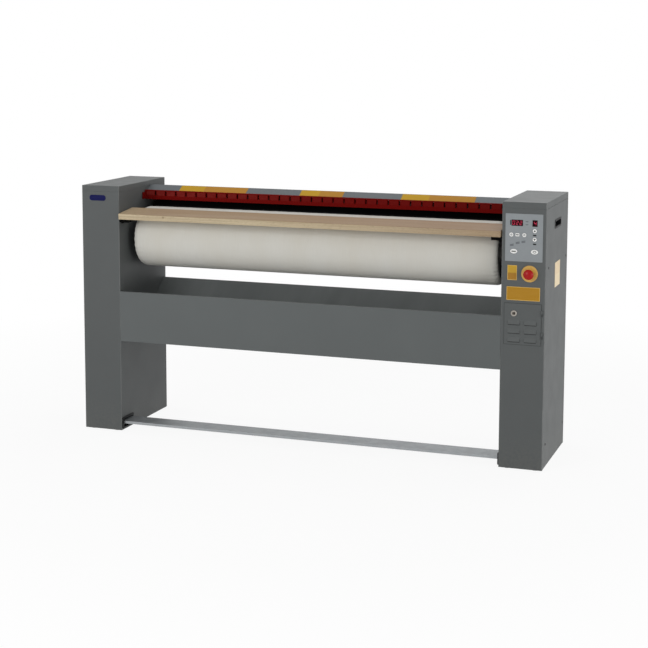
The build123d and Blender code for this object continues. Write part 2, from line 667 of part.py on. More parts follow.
CRANK_PIN = (LEVER_END[0], LEVER_END[1] - LINK)
EYE_SLACK = 0.9
with BuildPart() as bed_link:
    with BuildSketch(Plane.YZ.offset(-LINK_X[1])):
        with Locations(LEVER_END, CRANK_PIN):
            Circle(12)
        make_hull()
        with Locations(LEVER_END):
            Circle(LINK_PIN + RUN_FIT, mode=Mode.SUBTRACT)
        with Locations(CRANK_PIN):
            Circle(LINK_PIN + EYE_SLACK, mode=Mode.SUBTRACT)
    extrude(amount=LINK_X[1] - LINK_X[0])
finish(bed_link, "bed_link")

lift = LEVER * sin(open_angle / 2)
crank_half = asin(lift / CRANK)
CRANK_AXIS = (CRANK_PIN[0] + CRANK * cos(crank_half), CRANK_PIN[1] - CRANK * sin(crank_half))
CRANK_RATIO = 2 * crank_half / open_angle
BED_MOTOR_X = (870.0, 940.0)
CRANK_SHAFT_RADIUS = 8.0
with BuildPart() as bed_crank:
    with BuildSketch(Plane.YZ.offset(-LEVER_X[1])):
        with Locations(CRANK_AXIS):
            Circle(16)
        with Locations(CRANK_PIN):
            Circle(11)
        make_hull()
    extrude(amount=LEVER_X[1] - LEVER_X[0])
    rod(-LEVER_X[0] - 1, -LINK_X[0], *CRANK_PIN, LINK_PIN)
    rod(-LEVER_X[1] + 1, -BED_MOTOR_X[0] - 20, *CRANK_AXIS, CRANK_SHAFT_RADIUS)
finish(bed_crank, "bed_crank")
print(f"bed pivot y {BED_PIVOT_Y:.2f} z {BED_PIVOT_Z:.2f}, lever end {LEVER_END}")
print(f"crank axis {CRANK_AXIS}, crank turns {CRANK_RATIO:.4f} times the bed")

bed_motor = make_gear_motor(-1, BED_MOTOR_X, *CRANK_AXIS, (110, 110), 34.0, 120.0,
                            (BED_MOTOR_X[0] - 1, BED_MOTOR_X[0] + 26, CRANK_SHAFT_RADIUS + RUN_FIT),
                            BED_MOTOR_X[0] + 5)
finish(bed_motor, "bed_motor")

# ---- covers, tray and board between the columns ----
HEM = 12.0
REAR_SHELF_BEHIND = 376.0
with BuildPart() as linen_tray:
    with BuildSketch(Plane.YZ.offset(-INNER)):
        add(folded_face([
            (behind(HEM), TRAY_FRONT_TOP_Z),
            (FRONT, TRAY_FRONT_TOP_Z),
            (FRONT, TRAY_BOTTOM_Z),
            (behind(TRAY_FLAT), TRAY_BOTTOM_Z),
            (behind(TRAY_BACK_BEHIND), TRAY_BACK_TOP_Z),
            (behind(TRAY_BACK_BEHIND) + 8, TRAY_BACK_TOP_Z - 10),
        ]))
    extrude(amount=2 * INNER)
finish(linen_tray, "linen_tray")

with BuildPart() as top_cover:
    with BuildSketch(Plane.YZ.offset(-INNER)):
        add(folded_face([
            (behind(COVER_LIP_BEHIND), COVER_LIP_Z - 9),
            (behind(COVER_LIP_BEHIND), COVER_LIP_Z),
            (behind(RIDGE_BEHIND), RIDGE_Z),
            (behind(COVER_BACK_BEHIND), COVER_BACK_Z),
            (behind(COVER_BACK_BEHIND), COVER_BACK_Z - 15),
        ], side=Side.RIGHT))
    extrude(amount=2 * INNER)
finish(top_cover, "top_cover")

VENTS = 24
VENT_PITCH = (62.0, 22.0)
VENT_SIZE = (44.0, 7.0)
with BuildPart() as rear_cover:
    with BuildSketch(Plane.YZ.offset(-INNER)):
        add(folded_face([
            (behind(COVER_BACK_BEHIND) - SHEET, COVER_BACK_Z - 4),
            (behind(COVER_BACK_BEHIND) - SHEET, COVER_BOTTOM_Z),
            (behind(REAR_SHELF_BEHIND), COVER_BOTTOM_Z),
            (behind(REAR_SHELF_BEHIND), COVER_BOTTOM_Z + 9),
        ], side=Side.RIGHT))
    extrude(amount=2 * INNER)
    with BuildSketch(Plane.XZ.offset(-behind(COVER_BACK_BEHIND) - 1)):
        with Locations((0, COVER_BACK_Z - 60)):
            with GridLocations(*VENT_PITCH, VENTS, 2):
                SlotOverall(*VENT_SIZE)
    extrude(amount=6, mode=Mode.SUBTRACT)
finish(rear_cover, "rear_cover")

slope = radians(BOARD_SLOPE)
PLANE_BOARD = Plane(origin=(0, behind(BOARD_FRONT_BEHIND), BOARD_FRONT_TOP_Z),
                    x_dir=(0, cos(slope), sin(slope)), z_dir=(1, 0, 0))
BOARD_HALF = INNER - BOARD_END_GAP
with BuildPart() as feed_board:
    with BuildSketch(PLANE_BOARD.offset(-BOARD_HALF)):
        with BuildLine():
            Polyline((0, 0), (BOARD_DEPTH, 0), (BOARD_DEPTH, -BOARD_THICKNESS + 9),
                     (BOARD_DEPTH - 14, -BOARD_THICKNESS), (BOARD_NOSE_DEPTH, -BOARD_THICKNESS),
                     (BOARD_NOSE_DEPTH, -BOARD_NOSE), (0, -BOARD_NOSE), close=True)
        make_face()
    extrude(amount=2 * BOARD_HALF)
    nose = feed_board.edges().filter_by(Axis.X).group_by(Axis.Y)[0]
    fillet(nose, radius=3.5)
    fillet(feed_board.edges().filter_by(Axis.X).sort_by(Axis.Z)[-1], radius=3)
finish(feed_board, "feed_board")

# Each bracket is a side plate with a stepped block that carries the board's end, nose and all.
BRACKET = 4.0
BRACKET_DEPTH = (32.0, 112.0)
BRACKET_PLATE_LOW = 28.0
BLOCK_WIDTH = 44.0
BLOCK_FRONT = 14.0
BLOCK_BACK = 84.0
BLOCK_LOW = 40.0
BLOCK_STEP = BOARD_NOSE_DEPTH + 0.2
with BuildPart() as board_brackets:
    for side in CAP_NAMES:
        with BuildSketch(PLANE_BOARD.offset(side * INNER)):
            with Locations((sum(BRACKET_DEPTH) / 2, -BOARD_THICKNESS - BRACKET_PLATE_LOW / 2)):
                Rectangle(BRACKET_DEPTH[1] - BRACKET_DEPTH[0], BRACKET_PLATE_LOW)
        extrude(amount=-side * BRACKET)
        with BuildSketch(PLANE_BOARD.offset(side * INNER)):
            with BuildLine():
                Polyline((BLOCK_FRONT, -BOARD_NOSE), (BLOCK_STEP, -BOARD_NOSE),
                         (BLOCK_STEP, -BOARD_THICKNESS), (BLOCK_BACK, -BOARD_THICKNESS),
                         (BLOCK_BACK, -BLOCK_LOW), (BLOCK_FRONT, -BLOCK_LOW), close=True)
            make_face()
        extrude(amount=-side * BLOCK_WIDTH)
finish(board_brackets, "board_brackets")

# ---- finger guard ----
GUARD_SHEET = 2.5
GUARD_SLOT = (6.5, 20.0)
GUARD_SLOT_DOWN = 14.5
GUARD_SLOT_DEPTH = 18.0
GUARD_KNUCKLE = 7.2
GUARD_HALF = INNER - 2.5
GUARD_CHEEK = 3.0
GUARD_CHEEK_REACH = 24.0
with BuildPart() as finger_guard:
    with BuildSketch(Plane.YZ.offset(-GUARD_HALF)):
        add(folded_face([
            (behind(GUARD_BEHIND) + 11, GUARD_BOTTOM_Z),
            (behind(GUARD_BEHIND), GUARD_BOTTOM_Z),
            (behind(GUARD_BEHIND), GUARD_TOP_Z),
            (behind(GUARD_BEHIND) + 9, GUARD_TOP_Z),
        ], thickness=GUARD_SHEET, side=Side.RIGHT))
        with Locations((behind(GUARD_ROD_BEHIND), GUARD_ROD_Z)):
            Circle(GUARD_KNUCKLE)
            Circle(GUARD_ROD_RADIUS + RUN_FIT, mode=Mode.SUBTRACT)
    extrude(amount=2 * GUARD_HALF)
    with BuildSketch(Plane.XZ.offset(-behind(GUARD_BEHIND) + 1)):
        with Locations((0, GUARD_TOP_Z - GUARD_SLOT_DOWN)):
            with GridLocations(GUARD_PITCH, 1, GUARD_SLOTS, 1):
                Rectangle(*GUARD_SLOT)
    extrude(amount=-GUARD_SLOT_DEPTH, mode=Mode.SUBTRACT)
    for side in CAP_NAMES:
        block(side * (GUARD_HALF - GUARD_CHEEK), side * GUARD_HALF,
              behind(GUARD_BEHIND) - GUARD_CHEEK_REACH, behind(GUARD_BEHIND) + 1,
              GUARD_BOTTOM_Z + 2, GUARD_TOP_Z - 10)
finish(finger_guard, "finger_guard")

with BuildPart() as guard_rod:
    rod(-FRAME_OUT, FRAME_OUT, behind(GUARD_ROD_BEHIND), GUARD_ROD_Z, GUARD_ROD_RADIUS)
finish(guard_rod, "guard_rod")

# ---- foot pedal ----
PEDAL_END = 872.0
ARM_X = (842.0, 849.0)
ARM_DROP = 15.0
ARM_EYE = 16.0
with BuildPart() as pedal_bar:
    with BuildSketch(Plane.YZ.offset(-PEDAL_END)):
        with BuildLine():
            front = behind(PEDAL_FRONT_BEHIND)
            Polyline((front, PEDAL_TOP_Z - 11.5), (front, PEDAL_TOP_Z - 1),
                     (front + PEDAL_DEPTH, PEDAL_TOP_Z + 3), (front + PEDAL_DEPTH, PEDAL_TOP_Z - 9),
                     (front + PEDAL_DEPTH - 3, PEDAL_TOP_Z - 9), (front + PEDAL_DEPTH - 3, PEDAL_TOP_Z),
                     (front + 3, PEDAL_TOP_Z - 4), (front + 3, PEDAL_TOP_Z - 11.5), close=True)
        make_face()
    extrude(amount=2 * PEDAL_END)
    nose = pedal_bar.edges().filter_by(Axis.X).group_by(Axis.Y)[0]
    fillet(nose.sort_by(Axis.Z)[-1], radius=1.2)
finish(pedal_bar, "pedal_bar")

with BuildPart() as pedal_arms:
    for side in CAP_NAMES:
        with BuildSketch(Plane.YZ.offset(side * ARM_X[0])):
            with BuildLine():
                front = behind(PEDAL_FRONT_BEHIND)
                Polyline((front + 4, PEDAL_TOP_Z - 5), (front + 4, PEDAL_TOP_Z - ARM_DROP),
                         (front + PEDAL_DEPTH, PEDAL_TOP_Z - ARM_DROP),
                         (behind(PEDAL_PIVOT_BEHIND), PEDAL_PIVOT_Z - ARM_EYE),
                         (behind(PEDAL_PIVOT_BEHIND), PEDAL_PIVOT_Z + ARM_EYE),
                         (front + PEDAL_DEPTH + 16, PEDAL_TOP_Z + 2),
                         (front + PEDAL_DEPTH + 1, PEDAL_TOP_Z - 9.5),
                         (front + PEDAL_DEPTH - 4, PEDAL_TOP_Z - 9.5),
                         (front + PEDAL_DEPTH - 4, PEDAL_TOP_Z - 0.6), close=True)
            make_face()
            with Locations((behind(PEDAL_PIVOT_BEHIND), PEDAL_PIVOT_Z)):
                Circle(ARM_EYE)
                Circle(PEDAL_PIN + RUN_FIT, mode=Mode.SUBTRACT)
        extrude(amount=side * (ARM_X[1] - ARM_X[0]))
        rod(side * ARM_X[1], side * (SPRING_X + 6), behind(SPRING_BEHIND), SPRING_LOW_Z, SPRING_PEG)
finish(pedal_arms, "pedal_arms")

SPRING_RADIUS = 8.0
SPRING_EYE = 16.0
COIL_WIRE = 2.4
with BuildPart() as pedal_springs:
    low = SPRING_LOW_Z + SPRING_EYE
    high = SPRING_HIGH_Z - SPRING_EYE
    coils = int((high - low) / (2 * COIL_WIRE))
    for side in CAP_NAMES:
        x = side * SPRING_X
        y = behind(SPRING_BEHIND)
        upright(x, y, low, high, SPRING_RADIUS - COIL_WIRE)
        for i in range(coils):
            z = low + i * 2 * COIL_WIRE
            upright(x, y, z, z + COIL_WIRE, SPRING_RADIUS)
        for peg_z, reach in ((SPRING_LOW_Z, SPRING_EYE), (SPRING_HIGH_Z, -SPRING_EYE)):
            block(x - 1.5, x + 1.5, y - 6, y + 6, peg_z - reach * 0.4, peg_z + reach + reach / 8)
            rod(x - 2, x + 2, y, peg_z, SPRING_PEG + RUN_FIT, Mode.SUBTRACT)
finish(pedal_springs, "pedal_springs")

GUIDE_PROUD = 5.0
with BuildPart() as pedal_guides:
    for side in CAP_NAMES:
        block(side * (INNER - GUIDE_PROUD), side * INNER, behind(4), behind(105), 12, 58)
        block(side * INNER, side * (INNER + SHEET), behind(SLOT_FROM + 0.2), behind(SLOT_TO - 0.2),
              SLOT_BOTTOM_Z + 0.2, SLOT_TOP_Z - 0.2)
        block(side * (INNER - GUIDE_PROUD - 1), side * (INNER + SHEET + 1),
              behind(PEDAL_FRONT_BEHIND - 2.5), behind(PEDAL_FRONT_BEHIND + PEDAL_DEPTH + 2.5),
              16.5, 50.5, Mode.SUBTRACT)
finish(pedal_guides, "pedal_guides")

# ---- control column front ----
PLATE_PROUD = 1.5
DISPLAYS = ((885.5, 979.5, 45.0, 24.0), (955.0, 979.5, 20.0, 25.0))
ROUND_KEYS = {"menu_key": (863.0, 932.8), "enter_key": (914.0, 932.8), "speed_up_key": (954.5, 949.8),
              "speed_down_key": (954.5, 916.7)}
SELECT_KEY = (886.8, 932.8, 15.0, 12.0)
OVAL_KEYS = {"start_key": (873.5, 868.0), "stop_key": (955.0, 868.0)}
KEY_RADIUS = 8.0
OVAL_SIZE = (28.0, 18.0)
KEY_CLEAR = 0.15
KEY_PROUD = 0.8
BOARD_BACK = 10.0


def key_outline(name, grow=0.0):
    """Front outline of one key, grown by a margin."""
    with BuildSketch(Plane.XY) as outline:
        if name in ROUND_KEYS:
            with Locations(ROUND_KEYS[name]):
                Circle(KEY_RADIUS + grow)
        elif name in OVAL_KEYS:
            with Locations(OVAL_KEYS[name]):
                Ellipse(OVAL_SIZE[0] / 2 + grow, OVAL_SIZE[1] / 2 + grow)
        else:
            with Locations(SELECT_KEY[:2]):
                RectangleRounded(SELECT_KEY[2] + 2 * grow, SELECT_KEY[3] + 2 * grow, 2 + grow)
    return outline.sketch_local


KEY_NAMES = (*ROUND_KEYS, "select_key", *OVAL_KEYS)
PANEL_Z = (PANEL_BOTTOM_Z + PANEL_TOP_Z) / 2
with BuildPart() as control_plate:
    with BuildSketch(PLANE_FRONT):
        with Locations((MIDDLE, PANEL_Z)):
            RectangleRounded(PANEL_WIDTH, PANEL_TOP_Z - PANEL_BOTTOM_Z, 2)
        for x, z, wide, high in DISPLAYS:
            with Locations((x, z)):
                Rectangle(wide + 0.2, high + 0.2, mode=Mode.SUBTRACT)
        for name in KEY_NAMES:
            add(key_outline(name, KEY_CLEAR), mode=Mode.SUBTRACT)
    extrude(amount=PLATE_PROUD)
finish(control_plate, "control_plate")

with BuildPart() as display_windows:
    with BuildSketch(PLANE_FRONT.offset(0.3)):
        for x, z, wide, high in DISPLAYS:
            with Locations((x, z)):
                Rectangle(wide, high)
    extrude(amount=PLATE_PROUD - 0.3)
finish(display_windows, "display_windows")

CIRCUIT_BOARD = (120.0, 160.0)
with BuildPart() as control_board:
    with BuildSketch(PLANE_FRONT.offset(-BOARD_BACK)):
        with Locations((MIDDLE, PANEL_Z)):
            Rectangle(*CIRCUIT_BOARD)
    extrude(amount=-1.6)
    with BuildSketch(PLANE_FRONT.offset(-BOARD_BACK)):
        with Locations((MIDDLE, PANEL_Z)):
            with GridLocations(CIRCUIT_BOARD[0] - 7, CIRCUIT_BOARD[1] - 7, 2, 2):
                Circle(3)
    extrude(amount=BOARD_BACK)
    with BuildSketch(PLANE_FRONT.offset(-BOARD_BACK)):
        for x, z, wide, high in DISPLAYS:
            with Locations((x, z)):
                Rectangle(wide - 1, high - 1)
    extrude(amount=BOARD_BACK + 0.3)
    block(MIDDLE - 45, MIDDLE - 5, behind(BOARD_BACK + 1), behind(BOARD_BACK + 28), 850, 885)
    block(MIDDLE + 10, MIDDLE + 50, behind(BOARD_BACK + 1), behind(BOARD_BACK + 16), 870, 930)
finish(control_board, "control_board")

for name in KEY_NAMES:
    with BuildPart() as key:
        with BuildSketch(PLANE_FRONT.offset(-BOARD_BACK + 0.6)):
            add(key_outline(name))
        extrude(amount=BOARD_BACK - 0.6 + PLATE_PROUD + KEY_PROUD)
        fillet(key.faces().sort_by(Axis.Y)[0].edges(), radius=0.5)
        with BuildSketch(PLANE_FRONT.offset(-2.2)):
            add(key_outline(name, 1.5))
        extrude(amount=2)
    finish(key, name)

# ---- emergency stop ----
STOP_PLATE_RADIUS = 32.5
STOP_COLLAR_RADIUS = 15.0
STOP_HEAD_RADIUS = 20.0
STOP_HEAD_BACK = 19.0
STOP_STEM_RADIUS = 6.0
STOP_AXIS = Axis((ESTOP_X, 0, ESTOP_Z), (0, 1, 0))
PLANE_STOP = Plane(origin=(ESTOP_X, FRONT, ESTOP_Z), x_dir=(1, 0, 0), z_dir=(0, 0, 1))


def turned(points):
    """Half section right of an axis, from (radius, distance in front of the face) points."""
    with BuildSketch(Plane.XY) as half:
        with BuildLine():
            Polyline(*[(radius, -ahead) for radius, ahead in points], close=True)
        make_face()
    return half.sketch_local


with BuildPart() as estop_ring:
    with BuildSketch(PLANE_STOP):
        add(turned([(STOP_STEM_RADIUS + RUN_FIT, 13), (STOP_COLLAR_RADIUS - 1, 13),
                    (STOP_COLLAR_RADIUS, 12), (STOP_COLLAR_RADIUS + 1.5, 2.4), (STOP_PLATE_RADIUS - 0.8, 2.4),
                    (STOP_PLATE_RADIUS, 1.6), (STOP_PLATE_RADIUS, 0), (10.9, 0), (10.9, -10),
                    (STOP_STEM_RADIUS + RUN_FIT, -10)]))
    revolve(axis=STOP_AXIS)
finish(estop_ring, "estop_ring")

with BuildPart() as estop_stem:
    with BuildSketch(PLANE_STOP):
        add(turned([(0, ESTOP_REACH - 5), (STOP_STEM_RADIUS, ESTOP_REACH - 5), (STOP_STEM_RADIUS, -4),
                    (0, -4)]))
    revolve(axis=STOP_AXIS)
finish(estop_stem, "estop_stem")

with BuildPart() as estop_head:
    with BuildSketch(PLANE_STOP):
        with BuildLine():
            outer = STOP_HEAD_RADIUS
            rim = -STOP_HEAD_BACK - 6
            rise = rim + ESTOP_REACH
            dome = (outer**2 + rise**2) / (2 * rise)
            half_turn = asin(outer / dome) / 2
            Polyline((0, -ESTOP_REACH + 5), (STOP_STEM_RADIUS + RUN_FIT, -ESTOP_REACH + 5),
                     (STOP_STEM_RADIUS + RUN_FIT, -STOP_HEAD_BACK), (outer - 2, -STOP_HEAD_BACK),
                     (outer, -STOP_HEAD_BACK - 2), (outer, rim))
            ThreePointArc((outer, rim),
                          (dome * sin(half_turn), dome - ESTOP_REACH - dome * cos(half_turn)),
                          (0, -ESTOP_REACH))
            Line((0, -ESTOP_REACH), (0, -ESTOP_REACH + 5))
        make_face()
    revolve(axis=STOP_AXIS)
finish(estop_head, "estop_head")

# ---- switches ----
PEDAL_SWITCH_BEHIND = 200.0
with BuildPart() as switch_blocks:
    block(ESTOP_X - 20, ESTOP_X + 20, behind(BOARD_BACK), behind(BOARD_BACK + 44), ESTOP_Z - 22, ESTOP_Z + 22)
    block(INNER - 20, INNER, behind(272), behind(284), 988, 1006)
    block(INNER - 20, INNER - 2, behind(269), behind(272), 993, 999)
    block(FRAME_OUT, FRAME_OUT + 16, behind(PEDAL_SWITCH_BEHIND), behind(PEDAL_SWITCH_BEHIND + 28), 76, 92)
    upright(FRAME_OUT + 12, behind(PEDAL_SWITCH_BEHIND + 14), 68, 77, 2)
finish(switch_blocks, "switch_blocks")

# ---- louvred door and its lock ----
DOOR_SHEET = SHEET
LOUVRE = (47.0, 17.0)
LOUVRE_PITCH = (65.0, 34.2)
LOUVRE_CENTRE = (911.0, 555.3)
LOUVRE_PROUD = 4.5
LOCK_RADIUS = 12.0
LOCK_BODY = 9.0
TONGUE = 37.0
DOOR_Z = (DOOR_BOTTOM_Z + DOOR_TOP_Z) / 2
with BuildPart() as access_door:
    with BuildSketch(PLANE_FRONT):
        with Locations((MIDDLE, DOOR_Z)):
            RectangleRounded(DOOR_WIDTH, DOOR_TOP_Z - DOOR_BOTTOM_Z, 2)
        with Locations((LOCK_X, LOCK_Z)):
            Circle(LOCK_BODY + RUN_FIT, mode=Mode.SUBTRACT)
    extrude(amount=DOOR_SHEET)
    for column in (-0.5, 0.5):
        for row in (-1, 0, 1):
            x = LOUVRE_CENTRE[0] + column * LOUVRE_PITCH[0]
            top = LOUVRE_CENTRE[1] + row * LOUVRE_PITCH[1] + LOUVRE[1] / 2
            low = top - LOUVRE[1]
            face = FRONT - DOOR_SHEET
            crest = face - LOUVRE_PROUD
            with BuildSketch(Plane.YZ.offset(x - LOUVRE[0] / 2)):
                with BuildLine():
                    Polyline((face + 0.2, top), (crest, low + 2), (crest, low), (face + 0.2, low), close=True)
                make_face()
            extrude(amount=LOUVRE[0])
            with BuildSketch(Plane.YZ.offset(x - LOUVRE[0] / 2 + 1)):
                with BuildLine():
                    Polyline((FRONT + 1, top - 2), (face, top - 2.4), (crest + 1.1, low + 1.6),
                             (crest + 1.1, low - 0.1), (face, low - 0.1), (face, low + 1),
                             (FRONT + 1, low + 1), close=True)
                make_face()
            extrude(amount=LOUVRE[0] - 2, mode=Mode.SUBTRACT)
    for z in HINGE_Z:
        block(HINGE_X - 4, HINGE_X, FRONT - 4, FRONT + 1, z - 0.3, z + KNUCKLE + 0.5, Mode.SUBTRACT)
        upright(HINGE_X, HINGE_Y, z - KNUCKLE + 0.3, z - 0.3, KNUCKLE_RADIUS)
        block(HINGE_X - 6, HINGE_X - 1, FRONT - 3, FRONT - 0.3, z - KNUCKLE + 0.3, z - 0.3)
        upright(HINGE_X, HINGE_Y, z - KNUCKLE, z, HINGE_PIN + RUN_FIT, Mode.SUBTRACT)
finish(access_door, "access_door")

with BuildPart() as door_lock:
    with BuildSketch(PLANE_FRONT.offset(DOOR_SHEET)):
        with Locations((LOCK_X, LOCK_Z)):
            Circle(LOCK_RADIUS)
    extrude(amount=2.5)
    chamfer(door_lock.faces().sort_by(Axis.Y)[0].edges(), length=0.8)
    with BuildSketch(PLANE_FRONT.offset(DOOR_SHEET)):
        with Locations((LOCK_X, LOCK_Z)):
            Circle(LOCK_BODY)
    extrude(amount=-DOOR_SHEET - 5)
    with BuildSketch(PLANE_FRONT.offset(-2)):
        with Locations((LOCK_X, LOCK_Z - TONGUE / 2)):
            Rectangle(11, TONGUE)
    extrude(amount=-2.5)
    with BuildSketch(PLANE_FRONT.offset(DOOR_SHEET + 3)):
        with Locations((LOCK_X, LOCK_Z)):
            Circle(6.6)
            Circle(3, mode=Mode.SUBTRACT)
            Rectangle(3, 13.2, mode=Mode.SUBTRACT)
    extrude(amount=-6.5, mode=Mode.SUBTRACT)
finish(door_lock, "door_lock")

# ---- plates, cable inlet and contactors ----
LABEL = 0.6
COVER_LABELS = ((-672.0, -358.0), (-113.0, 79.0), (335.0, 649.0))
SMALL_LABEL = (868.5, 784.0, 37.0, 58.0)
WIDE_LABEL = (913.5, 702.5, 131.0, 53.0)
BADGE = (-926.0, 1008.0, 76.0, 24.0)
SIDE_LABEL = (190.0, 294.0, 702.0, 802.0)
fascia = hypot(RIDGE_BEHIND - COVER_LIP_BEHIND, RIDGE_Z - COVER_LIP_Z)
fascia_dir = (0, (RIDGE_BEHIND - COVER_LIP_BEHIND) / fascia, (RIDGE_Z - COVER_LIP_Z) / fascia)
PLANE_FASCIA = Plane(origin=(0, behind(COVER_LIP_BEHIND), COVER_LIP_Z), x_dir=(1, 0, 0),
                     z_dir=(0, -fascia_dir[2], fascia_dir[1]))
with BuildPart() as label_plates:
    with BuildSketch(PLANE_FASCIA):
        for start, end in COVER_LABELS:
            with Locations(((start + end) / 2, fascia / 2)):
                Rectangle(end - start, fascia - 4)
    extrude(amount=LABEL)
    with BuildSketch(PLANE_FRONT):
        for x, z, wide, high in (SMALL_LABEL, WIDE_LABEL):
            with Locations((x, z)):
                Rectangle(wide, high)
        with Locations(BADGE[:2]):
            RectangleRounded(*BADGE[2:], 6)
    extrude(amount=LABEL)
    block(OUTER, OUTER + LABEL, behind(SIDE_LABEL[0]), behind(SIDE_LABEL[1]), *SIDE_LABEL[2:])
finish(label_plates, "label_plates")

GLAND_BORE = 6.0
GLAND_HEX = 14.0
GLAND_CAP = 12.5
with BuildPart() as cable_gland:
    with BuildSketch(Plane.XZ.offset(-BACK + SHEET)):
        with Locations((MIDDLE, GLAND_Z)):
            Circle(GLAND_HOLE - 0.1)
    extrude(amount=-SHEET - 2)
    with BuildSketch(Plane.XZ.offset(-BACK)):
        with Locations((MIDDLE, GLAND_Z)):
            RegularPolygon(GLAND_HEX, 6)
    extrude(amount=-8)
    with BuildSketch(Plane.XZ.offset(-BACK - 8)):
        with Locations((MIDDLE, GLAND_Z)):
            Circle(GLAND_CAP)
    extrude(amount=-GLAND_REACH + 8)
    fillet(cable_gland.faces().sort_by(Axis.Y)[-1].edges(), radius=3)
    with BuildSketch(Plane.XZ.offset(-BACK + SHEET)):
        with Locations((MIDDLE, GLAND_Z)):
            RegularPolygon(GLAND_HEX, 6)
    extrude(amount=5)
    with BuildSketch(Plane.XZ.offset(-BACK - GLAND_REACH - 1)):
        with Locations((MIDDLE, GLAND_Z)):
            Circle(GLAND_BORE)
    extrude(amount=GLAND_REACH + 10, mode=Mode.SUBTRACT)
finish(cable_gland, "cable_gland")

with BuildPart() as contactor_plate:
    block(FRAME_OUT, FRAME_OUT + 2, behind(130), behind(400), 210, 470)
    for z in (290, 410):
        block(FRAME_OUT + 2, FRAME_OUT + 9.5, behind(140), behind(390), z - 17.5, z + 17.5)
    for y in (150, 200, 250):
        block(FRAME_OUT + 9.5, FRAME_OUT + 80, behind(y), behind(y + 44), 372, 448)
    for i in range(10):
        y = 160 + i * 20
        block(FRAME_OUT + 9.5, FRAME_OUT + 50, behind(y), behind(y + 18), 262, 318)
finish(contactor_plate, "contactor_plate")
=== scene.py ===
"""Looks, light and camera of a free-standing flatwork ironer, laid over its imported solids."""

import logging
import math
from dataclasses import dataclass, field
from enum import Enum
from typing import Iterable, Optional, Sequence, Union

import bmesh
import bpy
from mathutils import Matrix, Vector


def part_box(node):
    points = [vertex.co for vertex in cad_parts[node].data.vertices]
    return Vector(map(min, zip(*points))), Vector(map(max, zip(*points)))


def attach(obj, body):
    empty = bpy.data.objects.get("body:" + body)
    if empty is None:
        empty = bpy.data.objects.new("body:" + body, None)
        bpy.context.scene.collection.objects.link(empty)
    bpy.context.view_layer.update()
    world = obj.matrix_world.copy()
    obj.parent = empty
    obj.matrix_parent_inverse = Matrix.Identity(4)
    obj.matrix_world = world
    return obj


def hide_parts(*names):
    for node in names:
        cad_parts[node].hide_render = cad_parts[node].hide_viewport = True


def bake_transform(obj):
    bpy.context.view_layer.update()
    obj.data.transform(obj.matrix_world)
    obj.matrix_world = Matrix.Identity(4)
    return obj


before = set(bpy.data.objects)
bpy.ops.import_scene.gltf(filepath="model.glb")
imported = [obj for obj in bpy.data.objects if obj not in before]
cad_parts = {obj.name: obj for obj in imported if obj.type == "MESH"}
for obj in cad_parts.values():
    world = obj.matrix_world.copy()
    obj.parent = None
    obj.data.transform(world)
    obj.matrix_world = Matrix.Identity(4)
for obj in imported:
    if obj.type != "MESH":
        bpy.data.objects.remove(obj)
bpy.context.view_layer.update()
LOG = logging.getLogger("ironer")

Socket = bpy.types.NodeSocket
Tree = bpy.types.NodeTree
Piece = bpy.types.Object
Point = tuple[float, float, float]
Colour = tuple[float, float, float, float]
Flat = list[tuple[float, float]]
# middle across and up, width and height
Spot = tuple[float, float, float, float]
Inputs = dict[Union[str, int], object]
Coat = tuple[Sequence[Union[Socket, float]], Colour]

# planes of the machine, in metres: the columns' fronts and backs, and their outer sides
FRONT = -0.220
BACK = 0.235
OUTER = 1.000
# middle of a column seen from above
COLUMN_MIDDLE = 0.913
MIDDLE_Y = 0.0075
# a plate's gap to the face under it, and how far a print stands proud of its face
GLUE_LINE = 0.00005
PRINT_RISE = 0.00015
# vertices nearer than this are one
MERGE_WITHIN = 0.00001
# span of a screw head's random angle, in radians
WHOLE_TURN = 6.283

# a Mix node's colour sockets share their names with its other kinds, so they go by number
SHARE, UNDER, OVER, MIXED = 0, 6, 7, 2
# nearly all of a noise's values lie between these
NOISE_LOW, NOISE_HIGH = 0.32, 0.68
WHITE = (1.0, 1.0, 1.0, 1.0)


def linear(sheet_hex: str, kept: float = 1.0) -> Colour:
    """Turns an sRGB hex colour into the linear one that shaders use.

    Args:
        sheet_hex: six hex digits, red first.
        kept: how much of its light stays, 1 for all.

    Returns:
        Red, green, blue and alpha, linear.
    """
    steps = [int(sheet_hex[i:i + 2], 16) / 255 for i in (0, 2, 4)]
    made = [kept * (s / 12.92 if s <= 0.04045 else ((s + 0.055) / 1.055) ** 2.4) for s in steps]
    return (made[0], made[1], made[2], 1.0)


def add_node(tree: Tree, kind: str, inputs: Optional[Inputs] = None, **settings: object) -> bpy.types.Node:
    """Adds a node, sets its options and fills or links its inputs.

    Args:
        tree: the node tree that gets it.
        kind: the node's type name.
        inputs: values or output sockets, by input name or number.
        settings: its options by name.

    Returns:
        The new node.
    """
    node = tree.nodes.new(kind)
    for name, value in settings.items():
        setattr(node, name, value)
    for name, value in (inputs or {}).items():
        if isinstance(value, Socket):
            tree.links.new(value, node.inputs[name])
        else:
            node.inputs[name].default_value = value
    return node


